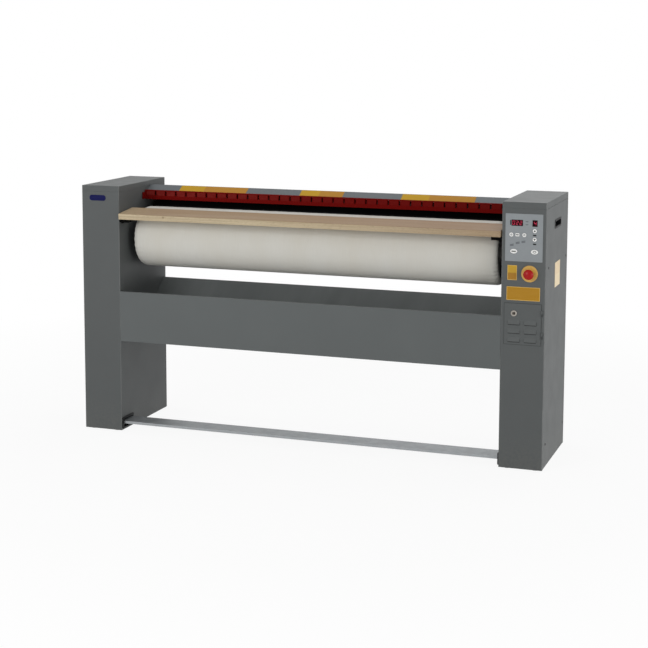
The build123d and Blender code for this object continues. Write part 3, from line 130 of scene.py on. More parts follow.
def mottle(tree: Tree, place: Socket, size_mm: float, low: float, high: float,
           stretch: Point = (1.0, 1.0, 1.0), detail: float = 3.0) -> Socket:
    """Cloudy pattern of patches of one real size.

    Args:
        tree: the material's tree.
        place: coordinates in metres.
        size_mm: size of a patch in millimetres.
        low: value in the darkest patches.
        high: value in the lightest patches.
        stretch: how much longer a patch is along each axis.
        detail: octaves of finer pattern inside a patch.

    Returns:
        The pattern's value.
    """
    squeezed = add_node(tree, "ShaderNodeMapping", {"Vector": place,
                                                    "Scale": tuple(1.0 / s for s in stretch)})
    cloud = add_node(tree, "ShaderNodeTexNoise", {"Vector": squeezed.outputs[0], "Scale": 1000.0 / size_mm,
                                                  "Detail": detail, "Roughness": 0.55})
    return add_node(tree, "ShaderNodeMapRange", {"Value": cloud.outputs[0], "From Min": NOISE_LOW,
                                                 "From Max": NOISE_HIGH, "To Min": low,
                                                 "To Max": high}).outputs[0]


def corner_rub(tree: Tree, place: Socket) -> list[Socket]:
    """Finds the columns' vertical corners, where paint rubs bare in patches.

    Args:
        tree: the material's tree.
        place: coordinates in metres.

    Returns:
        Shares whose product is 0 on the faces and up to 1 on the corners.
    """
    axes = add_node(tree, "ShaderNodeSeparateXYZ", {0: place})
    either_side = add_node(tree, "ShaderNodeMath", {0: axes.outputs["X"]}, operation="ABSOLUTE").outputs[0]
    shares = [mottle(tree, place, 35.0, 0.15, 1.0, stretch=(1.0, 1.0, 3.0))]
    # distances from a column's middle at which the rub starts and is whole; the last pair ends it
    for value, middle, starts, whole in ((either_side, COLUMN_MIDDLE, 0.0835, 0.0868),
                                         (axes.outputs["Y"], MIDDLE_Y, 0.2235, 0.2272),
                                         (either_side, COLUMN_MIDDLE, 0.0878, 0.0873)):
        off = add_node(tree, "ShaderNodeMath", {0: value, 1: middle}, operation="SUBTRACT")
        far = add_node(tree, "ShaderNodeMath", {0: off.outputs[0]}, operation="ABSOLUTE")
        shares.append(add_node(tree, "ShaderNodeMapRange", {"Value": far.outputs[0], "From Min": starts,
                                                            "From Max": whole}).outputs[0])
    return shares


@dataclass(frozen=True)
class Finish:
    """One material: its common name, its colour as seen under white light, and its gloss."""

    title: str
    colour: str
    roughness: float
    metallic: float = 0.0
    specular: float = 0.5
    # strength of the relief, and its depth in metres
    bump: tuple[float, float] = (0.0, 0.0)
    # further inputs of the shader, the same all over
    fixed: tuple[tuple[str, Union[float, Colour]], ...] = ()

    def coats(self, tree: Tree, place: Socket) -> list[Coat]:
        """Layers over the base colour, lowest first: the shares that multiply, and the colour."""
        return []

    def tint(self, tree: Tree, place: Socket) -> Union[Socket, Colour]:
        """Lays the coats over the base colour.

        Args:
            tree: the material's tree.
            place: coordinates in metres.

        Returns:
            The plain colour where there are no coats, and the mixed one otherwise.
        """
        paint: Union[Socket, Colour] = linear(self.colour)
        for (share, *others), coat in self.coats(tree, place):
            for other in others:
                both = add_node(tree, "ShaderNodeMath", {0: share, 1: other}, operation="MULTIPLY")
                share = both.outputs[0]
            laid = add_node(tree, "ShaderNodeMix", {SHARE: share, UNDER: paint, OVER: coat}, data_type="RGBA")
            paint = laid.outputs[MIXED]
        return paint

    def polish(self, tree: Tree, place: Socket) -> Union[Socket, float]:
        """Roughness, plain unless a finish says more."""
        return self.roughness

    def height(self, tree: Tree, place: Socket) -> Optional[Socket]:
        """Relief of the surface, none unless a finish says more."""
        return None

    def normal(self, tree: Tree, place: Socket) -> Optional[Socket]:
        """Bumps the relief, as strong and as deep as the finish says.

        Args:
            tree: the material's tree.
            place: coordinates in metres.

        Returns:
            The bumped normal, or none where the finish has no relief.
        """
        height = self.height(tree, place)
        if height is None:
            return None
        strength, depth = self.bump
        return add_node(tree, "ShaderNodeBump", {"Strength": strength, "Distance": depth,
                                                 "Height": height}).outputs[0]

    def make(self) -> bpy.types.Material:
        """Builds the material once.

        Returns:
            The material, shared by every piece with this finish.
        """
        known = bpy.data.materials.get(self.title)
        if known is not None:
            return known
        material = bpy.data.materials.new(self.title)
        material.use_nodes = True
        material.diffuse_color = linear(self.colour)
        tree = material.node_tree
        tree.nodes.clear()
        place = add_node(tree, "ShaderNodeTexCoord").outputs["Object"]
        inputs = {"Base Color": self.tint(tree, place), "Roughness": self.polish(tree, place),
                  "Metallic": self.metallic, "Specular IOR Level": self.specular, **dict(self.fixed)}
        bumped = self.normal(tree, place)
        if bumped is not None:
            inputs["Normal"] = bumped
        shader = add_node(tree, "ShaderNodeBsdfPrincipled", inputs)
        add_node(tree, "ShaderNodeOutputMaterial", {"Surface": shader.outputs[0]})
        return material


@dataclass(frozen=True)
class StoveEnamel(Finish):
    """Baked grey paint on sheet steel: satin, faintly pebbled, a little lighter where corners rub."""

    bump: tuple[float, float] = (0.10, 0.0003)
    drift: float = 1.05
    dust_and_shade: str = "9B968C"
    dust_height: float = 0.16
    dust_share: float = 0.10
    rubbed: str = "9A9C9B"
    rub_share: float = 0.55
    # how bare the linen has rubbed an upward slope, partly painted light that lifts the shaded slope, and the
    # tone there
    slid_and_lit: float = 0.0
    slid_and_lit_tone: str = "8A8E8D"

    def coats(self, tree: Tree, place: Socket) -> list[Coat]:
        """Broad tone drift, settled dust low down, rubbed corners, and streaks where linen slides, which are
        partly painted light on shaded upward slopes.

        Args:
            tree: the material's tree.
            place: coordinates in metres.

        Returns:
            The coats.
        """
        above_floor = add_node(tree, "ShaderNodeSeparateXYZ", {0: place}).outputs["Z"]
        low = add_node(tree, "ShaderNodeMapRange", {"Value": above_floor, "From Min": self.dust_height,
                                                    "From Max": 0.0, "To Max": self.dust_share}).outputs[0]
        made: list[Coat] = [
            ([mottle(tree, place, 260.0, 0.0, 1.0, detail=2.0)], linear(self.colour, self.drift)),
            ([low, mottle(tree, place, 9.0, 0.1, 1.0)], linear(self.dust_and_shade)),
            ([*corner_rub(tree, place), self.rub_share], linear(self.rubbed))]
        if self.slid_and_lit:
            # partly linen wear and partly painted light: faces that turn upward are lightened in streaks
            normal = add_node(tree, "ShaderNodeTexCoord").outputs["Normal"]
            up = add_node(tree, "ShaderNodeSeparateXYZ", {0: normal}).outputs["Z"]
            sloped = add_node(tree, "ShaderNodeMapRange", {"Value": up, "From Min": 0.3, "From Max": 0.6})
            streaks = mottle(tree, place, 120.0, self.slid_and_lit - 0.12, self.slid_and_lit + 0.12, stretch=(1.0, 3.0, 3.0))
            made.append(([sloped.outputs[0], streaks], linear(self.slid_and_lit_tone)))
        return made

    def polish(self, tree: Tree, place: Socket) -> Socket:
        """Handling leaves glossier and duller patches about a hand wide."""
        return mottle(tree, place, 90.0, self.roughness - 0.02, self.roughness + 0.03)

    def height(self, tree: Tree, place: Socket) -> Socket:
        """Orange peel of the coat: real dimples are 1 mm, drawn at 2.5 mm so that they show."""
        return mottle(tree, place, 2.5, 0.0, 1.0, detail=1.0)


@dataclass(frozen=True)
class DoorEnamel(StoveEnamel):
    """The same enamel with painted shade under each louvre and in the door's joint."""

    # the door's middle, and how far from it the paint is free of painted shade, across and up
    middle: tuple[float, float] = (0.913, 0.5825)
    shade_free: tuple[float, float] = (0.0722, 0.0807)
    # where the first louvre starts and opens, the louvres' pitch, and where the top row ends
    first_louvre: tuple[float, float] = (0.855, 0.5126)
    louvre_width: float = 0.047
    pitch: tuple[float, float] = (0.065, 0.0342)
    top_row: float = 0.583
    # height of a painted shadow strip, its tone, and how dense the painted shade is in the strips and in the
    # joint
    drawn: float = 0.0036
    painted_shade_tone: str = "1E2021"
    painted_shade_shares: tuple[float, float] = (0.8, 0.6)

    def coats(self, tree: Tree, place: Socket) -> list[Coat]:
        """Adds painted shade in a strip below every louvre's mouth and in a line round the door's joint.

        Args:
            tree: the material's tree.
            place: coordinates in metres.

        Returns:
            The enamel's own coats and the painted shade.
        """
        axes = add_node(tree, "ShaderNodeSeparateXYZ", {0: place})
        across, up = axes.outputs["X"], axes.outputs["Z"]
        start, mouth = self.first_louvre
        # every louvre's place is brought back to the first one's
        strip = [add_node(tree, "ShaderNodeMath", {0: value, 1: first + step, 2: first}, operation="WRAP")
                 for value, first, step in ((across, start, self.pitch[0]),
                                            (up, mouth - self.drawn, self.pitch[1]))]
        # painted shade: a dark strip under each louvre's mouth, where the hood's shadow falls
        dust_and_shade = [add_node(tree, "ShaderNodeMath", {0: value, 1: end}, operation="LESS_THAN").outputs[0]
                for value, end in ((strip[0].outputs[0], start + self.louvre_width),
                                   (strip[1].outputs[0], mouth), (up, self.top_row))]
        # painted shade in the joint round the door, where the gap is in shade
        edges = []
        for value, middle, half in zip((across, up), self.middle, self.shade_free):
            off = add_node(tree, "ShaderNodeMath", {0: value, 1: middle}, operation="SUBTRACT")
            far = add_node(tree, "ShaderNodeMath", {0: off.outputs[0]}, operation="ABSOLUTE")
            edges.append(add_node(tree, "ShaderNodeMath", {0: far.outputs[0], 1: half},
                                  operation="GREATER_THAN").outputs[0])
        joint = add_node(tree, "ShaderNodeMath", dict(enumerate(edges)), operation="MAXIMUM")
        in_strips, in_joint = self.painted_shade_shares
        return [*super().coats(tree, place), ([*dust_and_shade, in_strips], linear(self.painted_shade_tone)),
                ([joint.outputs[0], in_joint], linear(self.painted_shade_tone))]


@dataclass(frozen=True)
class ZincPlate(Finish):
    """Galvanised sheet: flat crystals of two greys, each with its own gloss."""

    other_grey: str = "A9ADAE"

    def _crystals(self, tree: Tree, place: Socket) -> Socket:
        """Value of each zinc crystal, 9 mm across as on hot-dipped sheet."""
        cells = add_node(tree, "ShaderNodeTexVoronoi", {"Vector": place, "Scale": 110.0})
        return add_node(tree, "ShaderNodeSeparateColor", {0: cells.outputs["Color"]}).outputs[0]

    def coats(self, tree: Tree, place: Socket) -> list[Coat]:
        """Two zinc greys by crystal."""
        return [([self._crystals(tree, place)], linear(self.other_grey))]

    def polish(self, tree: Tree, place: Socket) -> Socket:
        """Roughness by crystal.

        Args:
            tree: the material's tree.
            place: coordinates in metres.

        Returns:
            The roughness.
        """
        return add_node(tree, "ShaderNodeMapRange", {"Value": self._crystals(tree, place),
                                                     "To Min": self.roughness,
                                                     "To Max": self.roughness + 0.2}).outputs[0]


@dataclass(frozen=True)
class DrawnSteel(Finish):
    """Turned, drawn or rolled metal: fine lines one way, which stretch its highlights."""

    bump: tuple[float, float] = (0.12, 0.0002)
    grain: Point = (30.0, 1.0, 1.0)
    stain: str = "4E4741"
    stained: float = 0.25

    def coats(self, tree: Tree, place: Socket) -> list[Coat]:
        """Oil and age darken it in patches."""
        return [([mottle(tree, place, 40.0, 0.0, self.stained)], linear(self.stain))]

    def polish(self, tree: Tree, place: Socket) -> Socket:
        """Tool lines vary the gloss; real ones are 0.1 mm, drawn at 1 mm so that they show."""
        return mottle(tree, place, 1.0, self.roughness - 0.06, self.roughness + 0.1, stretch=self.grain)

    def height(self, tree: Tree, place: Socket) -> Socket:
        """The same lines as shallow grooves."""
        return mottle(tree, place, 1.0, 0.0, 1.0, stretch=self.grain, detail=1.0)


@dataclass(frozen=True)
class ZonedMetal(DrawnSteel):
    """Metal with painted shade beyond, or within, a distance from an axis."""

    # a point on the axis, which runs where the second is 0, and the distances of the rim
    point: Point = (0.0, 0.0, 0.0)
    square: Point = (1.0, 0.0, 1.0)
    bright_from: float = 0.0054
    bright_to: float = 0.0058
    shaded_zone_tone: str = "2A2421"
    share: float = 0.85

    def coats(self, tree: Tree, place: Socket) -> list[Coat]:
        """Adds the painted shade, which gives way to the metal over the rim's width.

        Args:
            tree: the material's tree.
            place: coordinates in metres.

        Returns:
            The metal's own coats and the painted shade.
        """
        centre = add_node(tree, "ShaderNodeMapping", {
            "Vector": place, "Scale": self.square,
            "Location": tuple(-p * s for p, s in zip(self.point, self.square))})
        away = add_node(tree, "ShaderNodeVectorMath", {0: centre.outputs[0]}, operation="LENGTH")
        # painted shade laid beyond or within the rim
        shaded = add_node(tree, "ShaderNodeMapRange", {
            "Value": away.outputs["Value"], "From Min": self.bright_from, "From Max": self.bright_to,
            "To Min": self.share, "To Max": 0.0})
        return [*super().coats(tree, place), ([shaded.outputs[0]], linear(self.shaded_zone_tone))]


@dataclass(frozen=True)
class PaintedCasting(Finish):
    """Brushed machine paint over sand-cast iron or aluminium: dull and pebbly, grime in the hollows."""

    bump: tuple[float, float] = (0.4, 0.0006)
    grime: str = "2C2B29"

    def coats(self, tree: Tree, place: Socket) -> list[Coat]:
        """Grime in 12 mm clouds."""
        return [([mottle(tree, place, 12.0, 0.0, 0.35)], linear(self.grime))]

    def height(self, tree: Tree, place: Socket) -> Socket:
        """Sand grain: 0.5 mm on the real part, drawn at 2 mm so that it shows."""
        return mottle(tree, place, 2.0, 0.0, 1.0)


@dataclass(frozen=True)
class MouldedPlastic(Finish):
    """Injection-moulded plastic: even colour, spark-eroded texture, soft highlight."""

    bump: tuple[float, float] = (0.12, 0.0002)
    texture_mm: float = 1.5

    def coats(self, tree: Tree, place: Socket) -> list[Coat]:
        """Slight flow marks and finger grease."""
        return [([mottle(tree, place, 25.0, 0.0, 0.25)], linear(self.colour, 0.72))]

    def polish(self, tree: Tree, place: Socket) -> Socket:
        """Handled places shine a little more."""
        return mottle(tree, place, 18.0, self.roughness - 0.07, self.roughness + 0.07)

    def height(self, tree: Tree, place: Socket) -> Socket:
        """Mould texture, 0.3 mm in fact, drawn coarser so that it shows."""
        return mottle(tree, place, self.texture_mm, 0.0, 1.0, detail=1.0)


@dataclass(frozen=True)
class WovenCover(Finish):
    """Unbleached polyester-cotton press cloth: matt, off-white, with a visible thread and slubs."""

    thread_mm: float = 2.2
    thread_shadow_and_slub: str = "A9A597"
    scorch: str = "C4BAA4"

    def _cloth_place(self, tree: Tree) -> Socket:
        """The cloth's own map in metres, round the roller and along it."""
        return add_node(tree, "ShaderNodeUVMap", uv_map="cloth_metres").outputs[0]

    def _weave(self, tree: Tree) -> Socket:
        """Plain weave: real threads are 0.6 mm, drawn at 2.2 mm so that they show.

        Args:
            tree: the material's tree.

        Returns:
            Height of the threads, 0 to 1.
        """
        pitch = 2 * math.pi / (self.thread_mm / 1000)
        axes = add_node(tree, "ShaderNodeSeparateXYZ", {0: self._cloth_place(tree)})
        waves = []
        for name in ("X", "Y"):
            turned = add_node(tree, "ShaderNodeMath", {0: axes.outputs[name], 1: pitch}, operation="MULTIPLY")
            wave = add_node(tree, "ShaderNodeMath", {0: turned.outputs[0]}, operation="SINE")
            waves.append(wave.outputs[0])
        crossed = add_node(tree, "ShaderNodeMath", dict(enumerate(waves)), operation="MULTIPLY")
        raised = add_node(tree, "ShaderNodeMapRange", {"Value": crossed.outputs[0], "From Min": -1.0})
        return raised.outputs[0]

    def coats(self, tree: Tree, place: Socket) -> list[Coat]:
        """Thread shadows, slubs along the warp, and patches toasted by the hot bed.

        Args:
            tree: the material's tree.
            place: not used; the cloth's own map stands in for it.

        Returns:
            The coats.
        """
        cloth = self._cloth_place(tree)
        # the first coat is painted shade between the threads; the second lays the same tone for real slubs
        return [([self._weave(tree), 0.22], linear(self.thread_shadow_and_slub)),
                ([mottle(tree, cloth, 4.0, 0.0, 0.08, stretch=(14.0, 1.0, 1.0))], linear(self.thread_shadow_and_slub)),
                ([mottle(tree, cloth, 180.0, 0.0, 0.22, stretch=(2.5, 1.0, 1.0))], linear(self.scorch))]

    def normal(self, tree: Tree, place: Socket) -> Socket:
        """Threads, and soft ripples round the roller where the cloth was wound on.

        Args:
            tree: the material's tree.
            place: not used; the cloth's own map stands in for it.

        Returns:
            The bumped normal.
        """
        fine = add_node(tree, "ShaderNodeBump", {"Strength": 0.35, "Distance": 0.0004,
                                                 "Height": self._weave(tree)})
        ripples = mottle(tree, self._cloth_place(tree), 22.0, 0.0, 1.0, stretch=(9.0, 1.0, 1.0))
        return add_node(tree, "ShaderNodeBump", {"Strength": 0.12, "Distance": 0.0015, "Height": ripples,
                                                 "Normal": fine.outputs[0]}).outputs[0]


@dataclass(frozen=True)
class NeedledFelt(Finish):
    """Needle felt or mineral wool: fibres lying every way, no gloss at all."""

    bump: tuple[float, float] = (0.6, 0.001)
    fibre: str = "8E8A78"

    def coats(self, tree: Tree, place: Socket) -> list[Coat]:
        """Light and dark fibres, 3 mm tufts."""
        return [([mottle(tree, place, 3.0, 0.0, 0.6, stretch=(3.0, 1.0, 1.0))], linear(self.fibre))]

    def height(self, tree: Tree, place: Socket) -> Socket:
        """Loft of the fibres."""
        return mottle(tree, place, 3.0, 0.0, 1.0)


@dataclass(frozen=True)
class OiledBeech(Finish):
    """Steamed beech plank: close grain along the board, short flecks, worn and greyed on top."""

    bump: tuple[float, float] = (0.2, 0.0003)
    edge: str = "CFBF9F"
    vein: str = "6E563F"
    heart: str = "8E6E56"
    drifted: str = "967C5C"
    fleck: str = "5F4834"
    branch: str = "6E533C"
    knot: Point = (-0.6145, -0.235, 0.9376)

    def _grain(self, tree: Tree, place: Socket, low: float, high: float) -> Socket:
        """Growth rings 5 mm apart that run the board's length, 60 times longer than wide."""
        return mottle(tree, place, 5.0, low, high, stretch=(60.0, 1.0, 1.0), detail=4.0)

    def coats(self, tree: Tree, place: Socket) -> list[Coat]:
        """Lighter front edge, a left end lightened as painted light where the left column shades it, redder
        heartwood to the right, veins, flecks and one knot.

        Args:
            tree: the material's tree.
            place: coordinates in metres.

        Returns:
            The coats.
        """
        normal = add_node(tree, "ShaderNodeTexCoord").outputs["Normal"]
        up = add_node(tree, "ShaderNodeSeparateXYZ", {0: normal}).outputs["Z"]
        along = add_node(tree, "ShaderNodeSeparateXYZ", {0: place}).outputs["X"]
        centre = add_node(tree, "ShaderNodeMapping", {"Vector": place,
                                                      "Location": tuple(-c for c in self.knot)})
        away = add_node(tree, "ShaderNodeVectorMath", {0: centre.outputs[0]}, operation="LENGTH")
        # where a coat starts along its value, where it is whole, and its share there
        edge, end, heart, knot = (
            add_node(tree, "ShaderNodeMapRange", {"Value": value, "From Min": starts, "From Max": whole,
                                                  "To Max": share}).outputs[0]
            for value, starts, whole, share in (
                # the second row is painted light: it lightens the left end, where the left column shades the
                # board
                (up, 0.85, 0.35, 1.0), (along, -0.68, -0.82, 0.5), (along, -0.1, 0.8, 0.55),
                (away.outputs["Value"], 0.0065, 0.003, 0.5)))
        drift = mottle(tree, place, 40.0, 0.0, 0.24, stretch=(14.0, 1.0, 1.0))
        # below 0 there is no fleck, so most of the plank has none
        flecks = mottle(tree, place, 1.6, -1.2, 0.35, stretch=(6.0, 1.0, 1.0), detail=1.0)
        return [([edge], linear(self.edge)), ([end], linear(self.edge)), ([heart], linear(self.heart)),
                ([self._grain(tree, place, 0.0, 0.34)], linear(self.vein)),
                ([drift], linear(self.drifted)), ([flecks], linear(self.fleck)),
                ([knot], linear(self.branch))]

    def polish(self, tree: Tree, place: Socket) -> Socket:
        """Linen has polished it unevenly."""
        return mottle(tree, place, 60.0, self.roughness - 0.08, self.roughness + 0.08,
                      stretch=(8.0, 1.0, 1.0))

    def height(self, tree: Tree, place: Socket) -> Socket:
        """Open grain."""
        return self._grain(tree, place, 0.0, 1.0)


@dataclass(frozen=True)
class SafetyPaint(Finish):
    """Red semi-gloss paint on a folded guard: deep colour, brighter where linen and hands rub it."""

    bump: tuple[float, float] = (0.1, 0.0003)
    rubbed: str = "7A1A15"
    rub: tuple[float, float] = (0.0, 0.35)

    def coats(self, tree: Tree, place: Socket) -> list[Coat]:
        """Rubbed patches 60 mm long, more of them towards the left.

        Args:
            tree: the material's tree.
            place: coordinates in metres.

        Returns:
            The coats.
        """
        along = add_node(tree, "ShaderNodeSeparateXYZ", {0: place}).outputs["X"]
        leftward = add_node(tree, "ShaderNodeMapRange", {"Value": along, "From Min": -0.65, "From Max": 0.1,
                                                         "To Min": 1.0, "To Max": 0.12}).outputs[0]
        return [([mottle(tree, place, 14.0, *self.rub, stretch=(4.0, 1.0, 1.0)), leftward],
                 linear(self.rubbed))]

    def polish(self, tree: Tree, place: Socket) -> Socket:
        """Duller where rubbed."""
        return mottle(tree, place, 14.0, self.roughness, self.roughness + 0.15, stretch=(4.0, 1.0, 1.0))

    def height(self, tree: Tree, place: Socket) -> Socket:
        """Peel of the paint, 1 mm in fact, drawn at 2.5 mm so that it shows."""
        return mottle(tree, place, 2.5, 0.0, 1.0, detail=1.0)


@dataclass(frozen=True)
class PanelFilm(Finish):
    """Silver-grey printed polyester film over the keys: satin, with a fine metallic speck."""

    speck: str = "A4A8AB"
    drifted: str = "7E8386"

    def coats(self, tree: Tree, place: Socket) -> list[Coat]:
        """Metallic specks, 0.2 mm in fact, drawn at 1.5 mm, and a slow drift of tone."""
        return [([mottle(tree, place, 1.5, 0.0, 0.18, detail=1.0)], linear(self.speck)),
                ([mottle(tree, place, 70.0, 0.0, 0.15)], linear(self.drifted))]


class Axis(Enum):
    """The axis along which a printed plate changes from its first colour to its second."""

    ACROSS = "X"
    UPRIGHT = "Z"


@dataclass(frozen=True)
class PrintedFilm(Finish):
    """Bare printed plate in one tone, or in two that meet at a line, its ink a little worn and faded."""

    second: Optional[str] = None
    split: float = 0.0
    axis: Axis = Axis.ACROSS
    fade: float = 0.22
    faded: str = "C9B27A"

    def coats(self, tree: Tree, place: Socket) -> list[Coat]:
        """Lays the second ink with a soft join, and pale scuffs.

        Args:
            tree: the material's tree.
            place: coordinates in metres.

        Returns:
            The coats.
        """
        made: list[Coat] = []
        if self.second is not None:
            along = add_node(tree, "ShaderNodeSeparateXYZ", {0: place}).outputs[self.axis.value]
            past = add_node(tree, "ShaderNodeMapRange", {"Value": along, "From Min": self.split - 0.0006,
                                                         "From Max": self.split + 0.0006})
            made.append(([past.outputs[0]], linear(self.second)))
        scuffs = mottle(tree, place, 16.0, 0.0, self.fade, stretch=(3.0, 1.0, 1.0))
        return [*made, ([scuffs], linear(self.faded))]

    def polish(self, tree: Tree, place: Socket) -> Socket:
        """Scuffed laminate."""
        return mottle(tree, place, 10.0, self.roughness - 0.08, self.roughness + 0.12)


@dataclass(frozen=True)
class CircuitLaminate(Finish):
    """Green solder mask over copper tracks: glossy, with lighter tracks 2.5 mm apart."""

    track: str = "2F7A45"

    def tint(self, tree: Tree, place: Socket) -> Socket:
        """Tracks as a checker of long thin cells.

        Args:
            tree: the material's tree.
            place: coordinates in metres.

        Returns:
            The colour.
        """
        squeezed = add_node(tree, "ShaderNodeMapping", {"Vector": place, "Scale": (400.0, 1.0, 60.0)})
        return add_node(tree, "ShaderNodeTexChecker", {
            "Vector": squeezed.outputs[0], "Color1": linear(self.colour), "Color2": linear(self.track),
            "Scale": 1.0}).outputs[0]


# baked enamels: satin sheet metal, dusty by the floor, with painted shade under the louvres and in the door's
# joint, streaked where linen slides and lightened there partly as painted light
ENAMEL = StoveEnamel("grey_stove_enamel", "565959", 0.5, specular=0.25)
COVER_ENAMEL = StoveEnamel("bluish_grey_enamel", "616669", 0.5, specular=0.25)
# the door's enamel carries painted shade under its louvres and in its joint
DOOR_ENAMEL = DoorEnamel("louvre_shaded_grey_enamel", "565959", 0.5, specular=0.25)
# the tray's upward slopes are lightened, partly as painted light
TRAY_ENAMEL = StoveEnamel("linen_worn_and_lit_enamel", "5E6262", 0.5, specular=0.25, slid_and_lit=0.28)
HEAT_BLACK = StoveEnamel("heat_proof_black", "0B0B0B", 0.75, specular=0.02, rubbed="1A1A1A")
# bare metals: crystals on the zinc, and on the others fine lines that stretch the highlight
ZINC = ZincPlate("galvanised_steel", "8C9092", 0.38, 1.0)
DRUM_STEEL = DrawnSteel("rolled_drum_steel", "8E8F8E", 0.4, 1.0)
BRIGHT_STEEL = DrawnSteel("turned_bright_steel", "B4B3AE", 0.28, 1.0)
BLACK_STEEL = DrawnSteel("blackened_steel", "34343A", 0.42, 1.0)
OILED_CHAIN = DrawnSteel("oiled_chain_steel", "6A6660", 0.34, 1.0, grain=(1.0, 1.0, 1.0), stained=0.6)
SCREW_STEEL = DrawnSteel("zinc_screw_steel", "A8A8A4", 0.34, 1.0, grain=(1.0, 1.0, 1.0))
SPRING_STEEL = DrawnSteel("spring_wire_steel", "9C9A96", 0.32, 1.0, grain=(1.0, 1.0, 12.0))
PEDAL_ALUMINIUM = DrawnSteel("anodised_aluminium", "989B9D", 0.5, 1.0, grain=(60.0, 1.0, 1.0),
                             stain="77797B", stained=0.3)
# the ironing face is ground bright; the bed's edges and back are painted near-black, as painted shade in the
# gap under the guard
BED_ALUMINIUM = ZonedMetal("ground_aluminium_bed", "C9CACB", 0.3, 1.0, stain="8A8378", stained=0.2,
                           point=(0.0, -0.01754, 0.83586), square=(0.0, 1.0, 1.0),
                           bright_from=0.1300, bright_to=0.1298, shaded_zone_tone="121212", share=1.0)
# the key well is painted dark: painted shade in the recess
LOCK_ZINC = ZonedMetal("satin_lock_zinc", "9A958E", 0.34, 1.0, grain=(1.0, 1.0, 1.0), stained=0.15,
                       point=(0.8785, 0.0, 0.624))
# painted and phosphated iron: dull and pebbly, with grime in the hollows; the journals' light grey is partly
# painted light
BLACK_SCREW = PaintedCasting("blackened_screw_steel", "1D1D1E", 0.5)
CAST_GREY = PaintedCasting("painted_cast_iron", "5C6164", 0.5)
# the journals get a light matt grey as painted light, so that they show lit in the shaded gap at the roller's
# ends
JOURNAL_LIT_GREY = PaintedCasting("light_grey_forging_painted_light", "A5A3A0", 0.5)
MOTOR_PAINT = PaintedCasting("motor_enamel", "3F5663", 0.42)
# moulded parts and printed inks: one even colour under a soft highlight
RUBBER = MouldedPlastic("black_foot_rubber", "1C1C1B", 0.75, texture_mm=2.5)
BLACK_PLASTIC = MouldedPlastic("black_polyamide", "101112", 0.5, specular=0.15)
CONTACTOR_PLASTIC = MouldedPlastic("contactor_thermoset", "2B2C2E", 0.45)
KEY_PLASTIC = MouldedPlastic("white_key_abs", "F2F2F0", 0.35)
STOP_YELLOW = MouldedPlastic("yellow_stop_polyamide", "D2A650", 0.36)
STOP_RED = MouldedPlastic("red_stop_polyamide", "A81412", 0.34, specular=0.2)
WINDOW = MouldedPlastic("smoked_red_window", "24040A", 0.3, specular=0.05, texture_mm=6.0)
INK_DARK = MouldedPlastic("dark_print_ink", "141517", 0.5, specular=0.2)
INK_GREY = MouldedPlastic("grey_print_ink", "676B70", 0.5, specular=0.2)
# soft goods: no gloss, and threads or tufts seen close by
COVER_CLOTH = WovenCover("woven_press_cloth", "DAD9D3", 0.9,
                         fixed=(("Sheen Weight", 0.1), ("Sheen Roughness", 0.5)))
FELT = NeedledFelt("needled_felt", "CFC8B4", 0.95)
WOOL = NeedledFelt("mineral_wool", "B7A765", 0.95, fibre="8C7C45")
# what hands and linen touch: warm worn wood, and deep red paint rubbed brighter in patches
BEECH = OiledBeech("steamed_beech", "A28868", 0.55, specular=0.3)
GUARD_RED = SafetyPaint("red_guard_paint", "6E0F0D", 0.42, specular=0.01)
PAD_RED = SafetyPaint("rubbed_pad_paint", "6C0F0D", 0.42, specular=0.02, rubbed="7E2824", rub=(0.35, 1.0))
# the control front: speckled silver film, and behind it glossy green laminate
PANEL = PanelFilm("silver_panel_film", "8A8F92", 0.46, specular=0.35)
# a dim red light-emitting segment in its dark window
LIT = Finish("lit_red_segment", "E83A5E", 0.5,
             fixed=(("Emission Color", linear("E83A5E")), ("Emission Strength", 0.45)))
CIRCUIT = CircuitLaminate("green_circuit_laminate", "1F5A33", 0.3)
# printed plates: flat satin ink, scuffed paler
BADGE_BLUE = PrintedFilm("blue_badge_film", "14164A", 0.34, specular=0.06, fade=0.08, faded="3A4070")
SIDE_CREAM = PrintedFilm("cream_plate_film", "F8E2B8", 0.4, second="F2D8AC", split=0.752, axis=Axis.UPRIGHT)
NOTICE_SMALL = PrintedFilm("yellow_notice_film", "A87A34", 0.42, specular=0.05, second="C69E3C",
                           split=0.7835, axis=Axis.UPRIGHT, fade=0.12, faded="B8964E")
NOTICE_WIDE = PrintedFilm("ochre_notice_film", "B0822C", 0.42, specular=0.05, fade=0.15, faded="BE9646")
NOTICE_RIM = PrintedFilm("pale_notice_rim", "DDB766", 0.42, specular=0.05, fade=0.1)


def dress(finish: Finish, *nodes: str) -> None:
    """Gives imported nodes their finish.

    Args:
        finish: the finish they share.
        nodes: the nodes' names.
    """
    material = finish.make()
    for name in nodes:
        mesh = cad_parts[name].data
        mesh.materials.clear()
        mesh.materials.append(material)


@dataclass(frozen=True)
class Placement:
    """A flat place in the machine: a point, the direction across and the direction up."""

    origin: Point
    across: Point
    up: Point

    def outward(self) -> Vector:
        """Direction that the place faces."""
        return Vector(self.across).cross(Vector(self.up)).normalized()

    def point(self, u: float, v: float, w: float) -> Vector:
        """Point at u across, v up and w proud, in metres."""
        return Vector(self.origin) + Vector(self.across) * u + Vector(self.up) * v + self.outward() * w


FACE_FRONT = Placement((0.0, FRONT, 0.0), (1.0, 0.0, 0.0), (0.0, 0.0, 1.0))
FACE_SIDE = Placement((OUTER, 0.0, 0.0), (0.0, 1.0, 0.0), (0.0, 0.0, 1.0))
# the top cover's slope, from its lower front edge
FACE_FASCIA = Placement((0.0, 0.044, 1.0157), (1.0, 0.0, 0.0), (0.0, 0.87624, 0.48187))


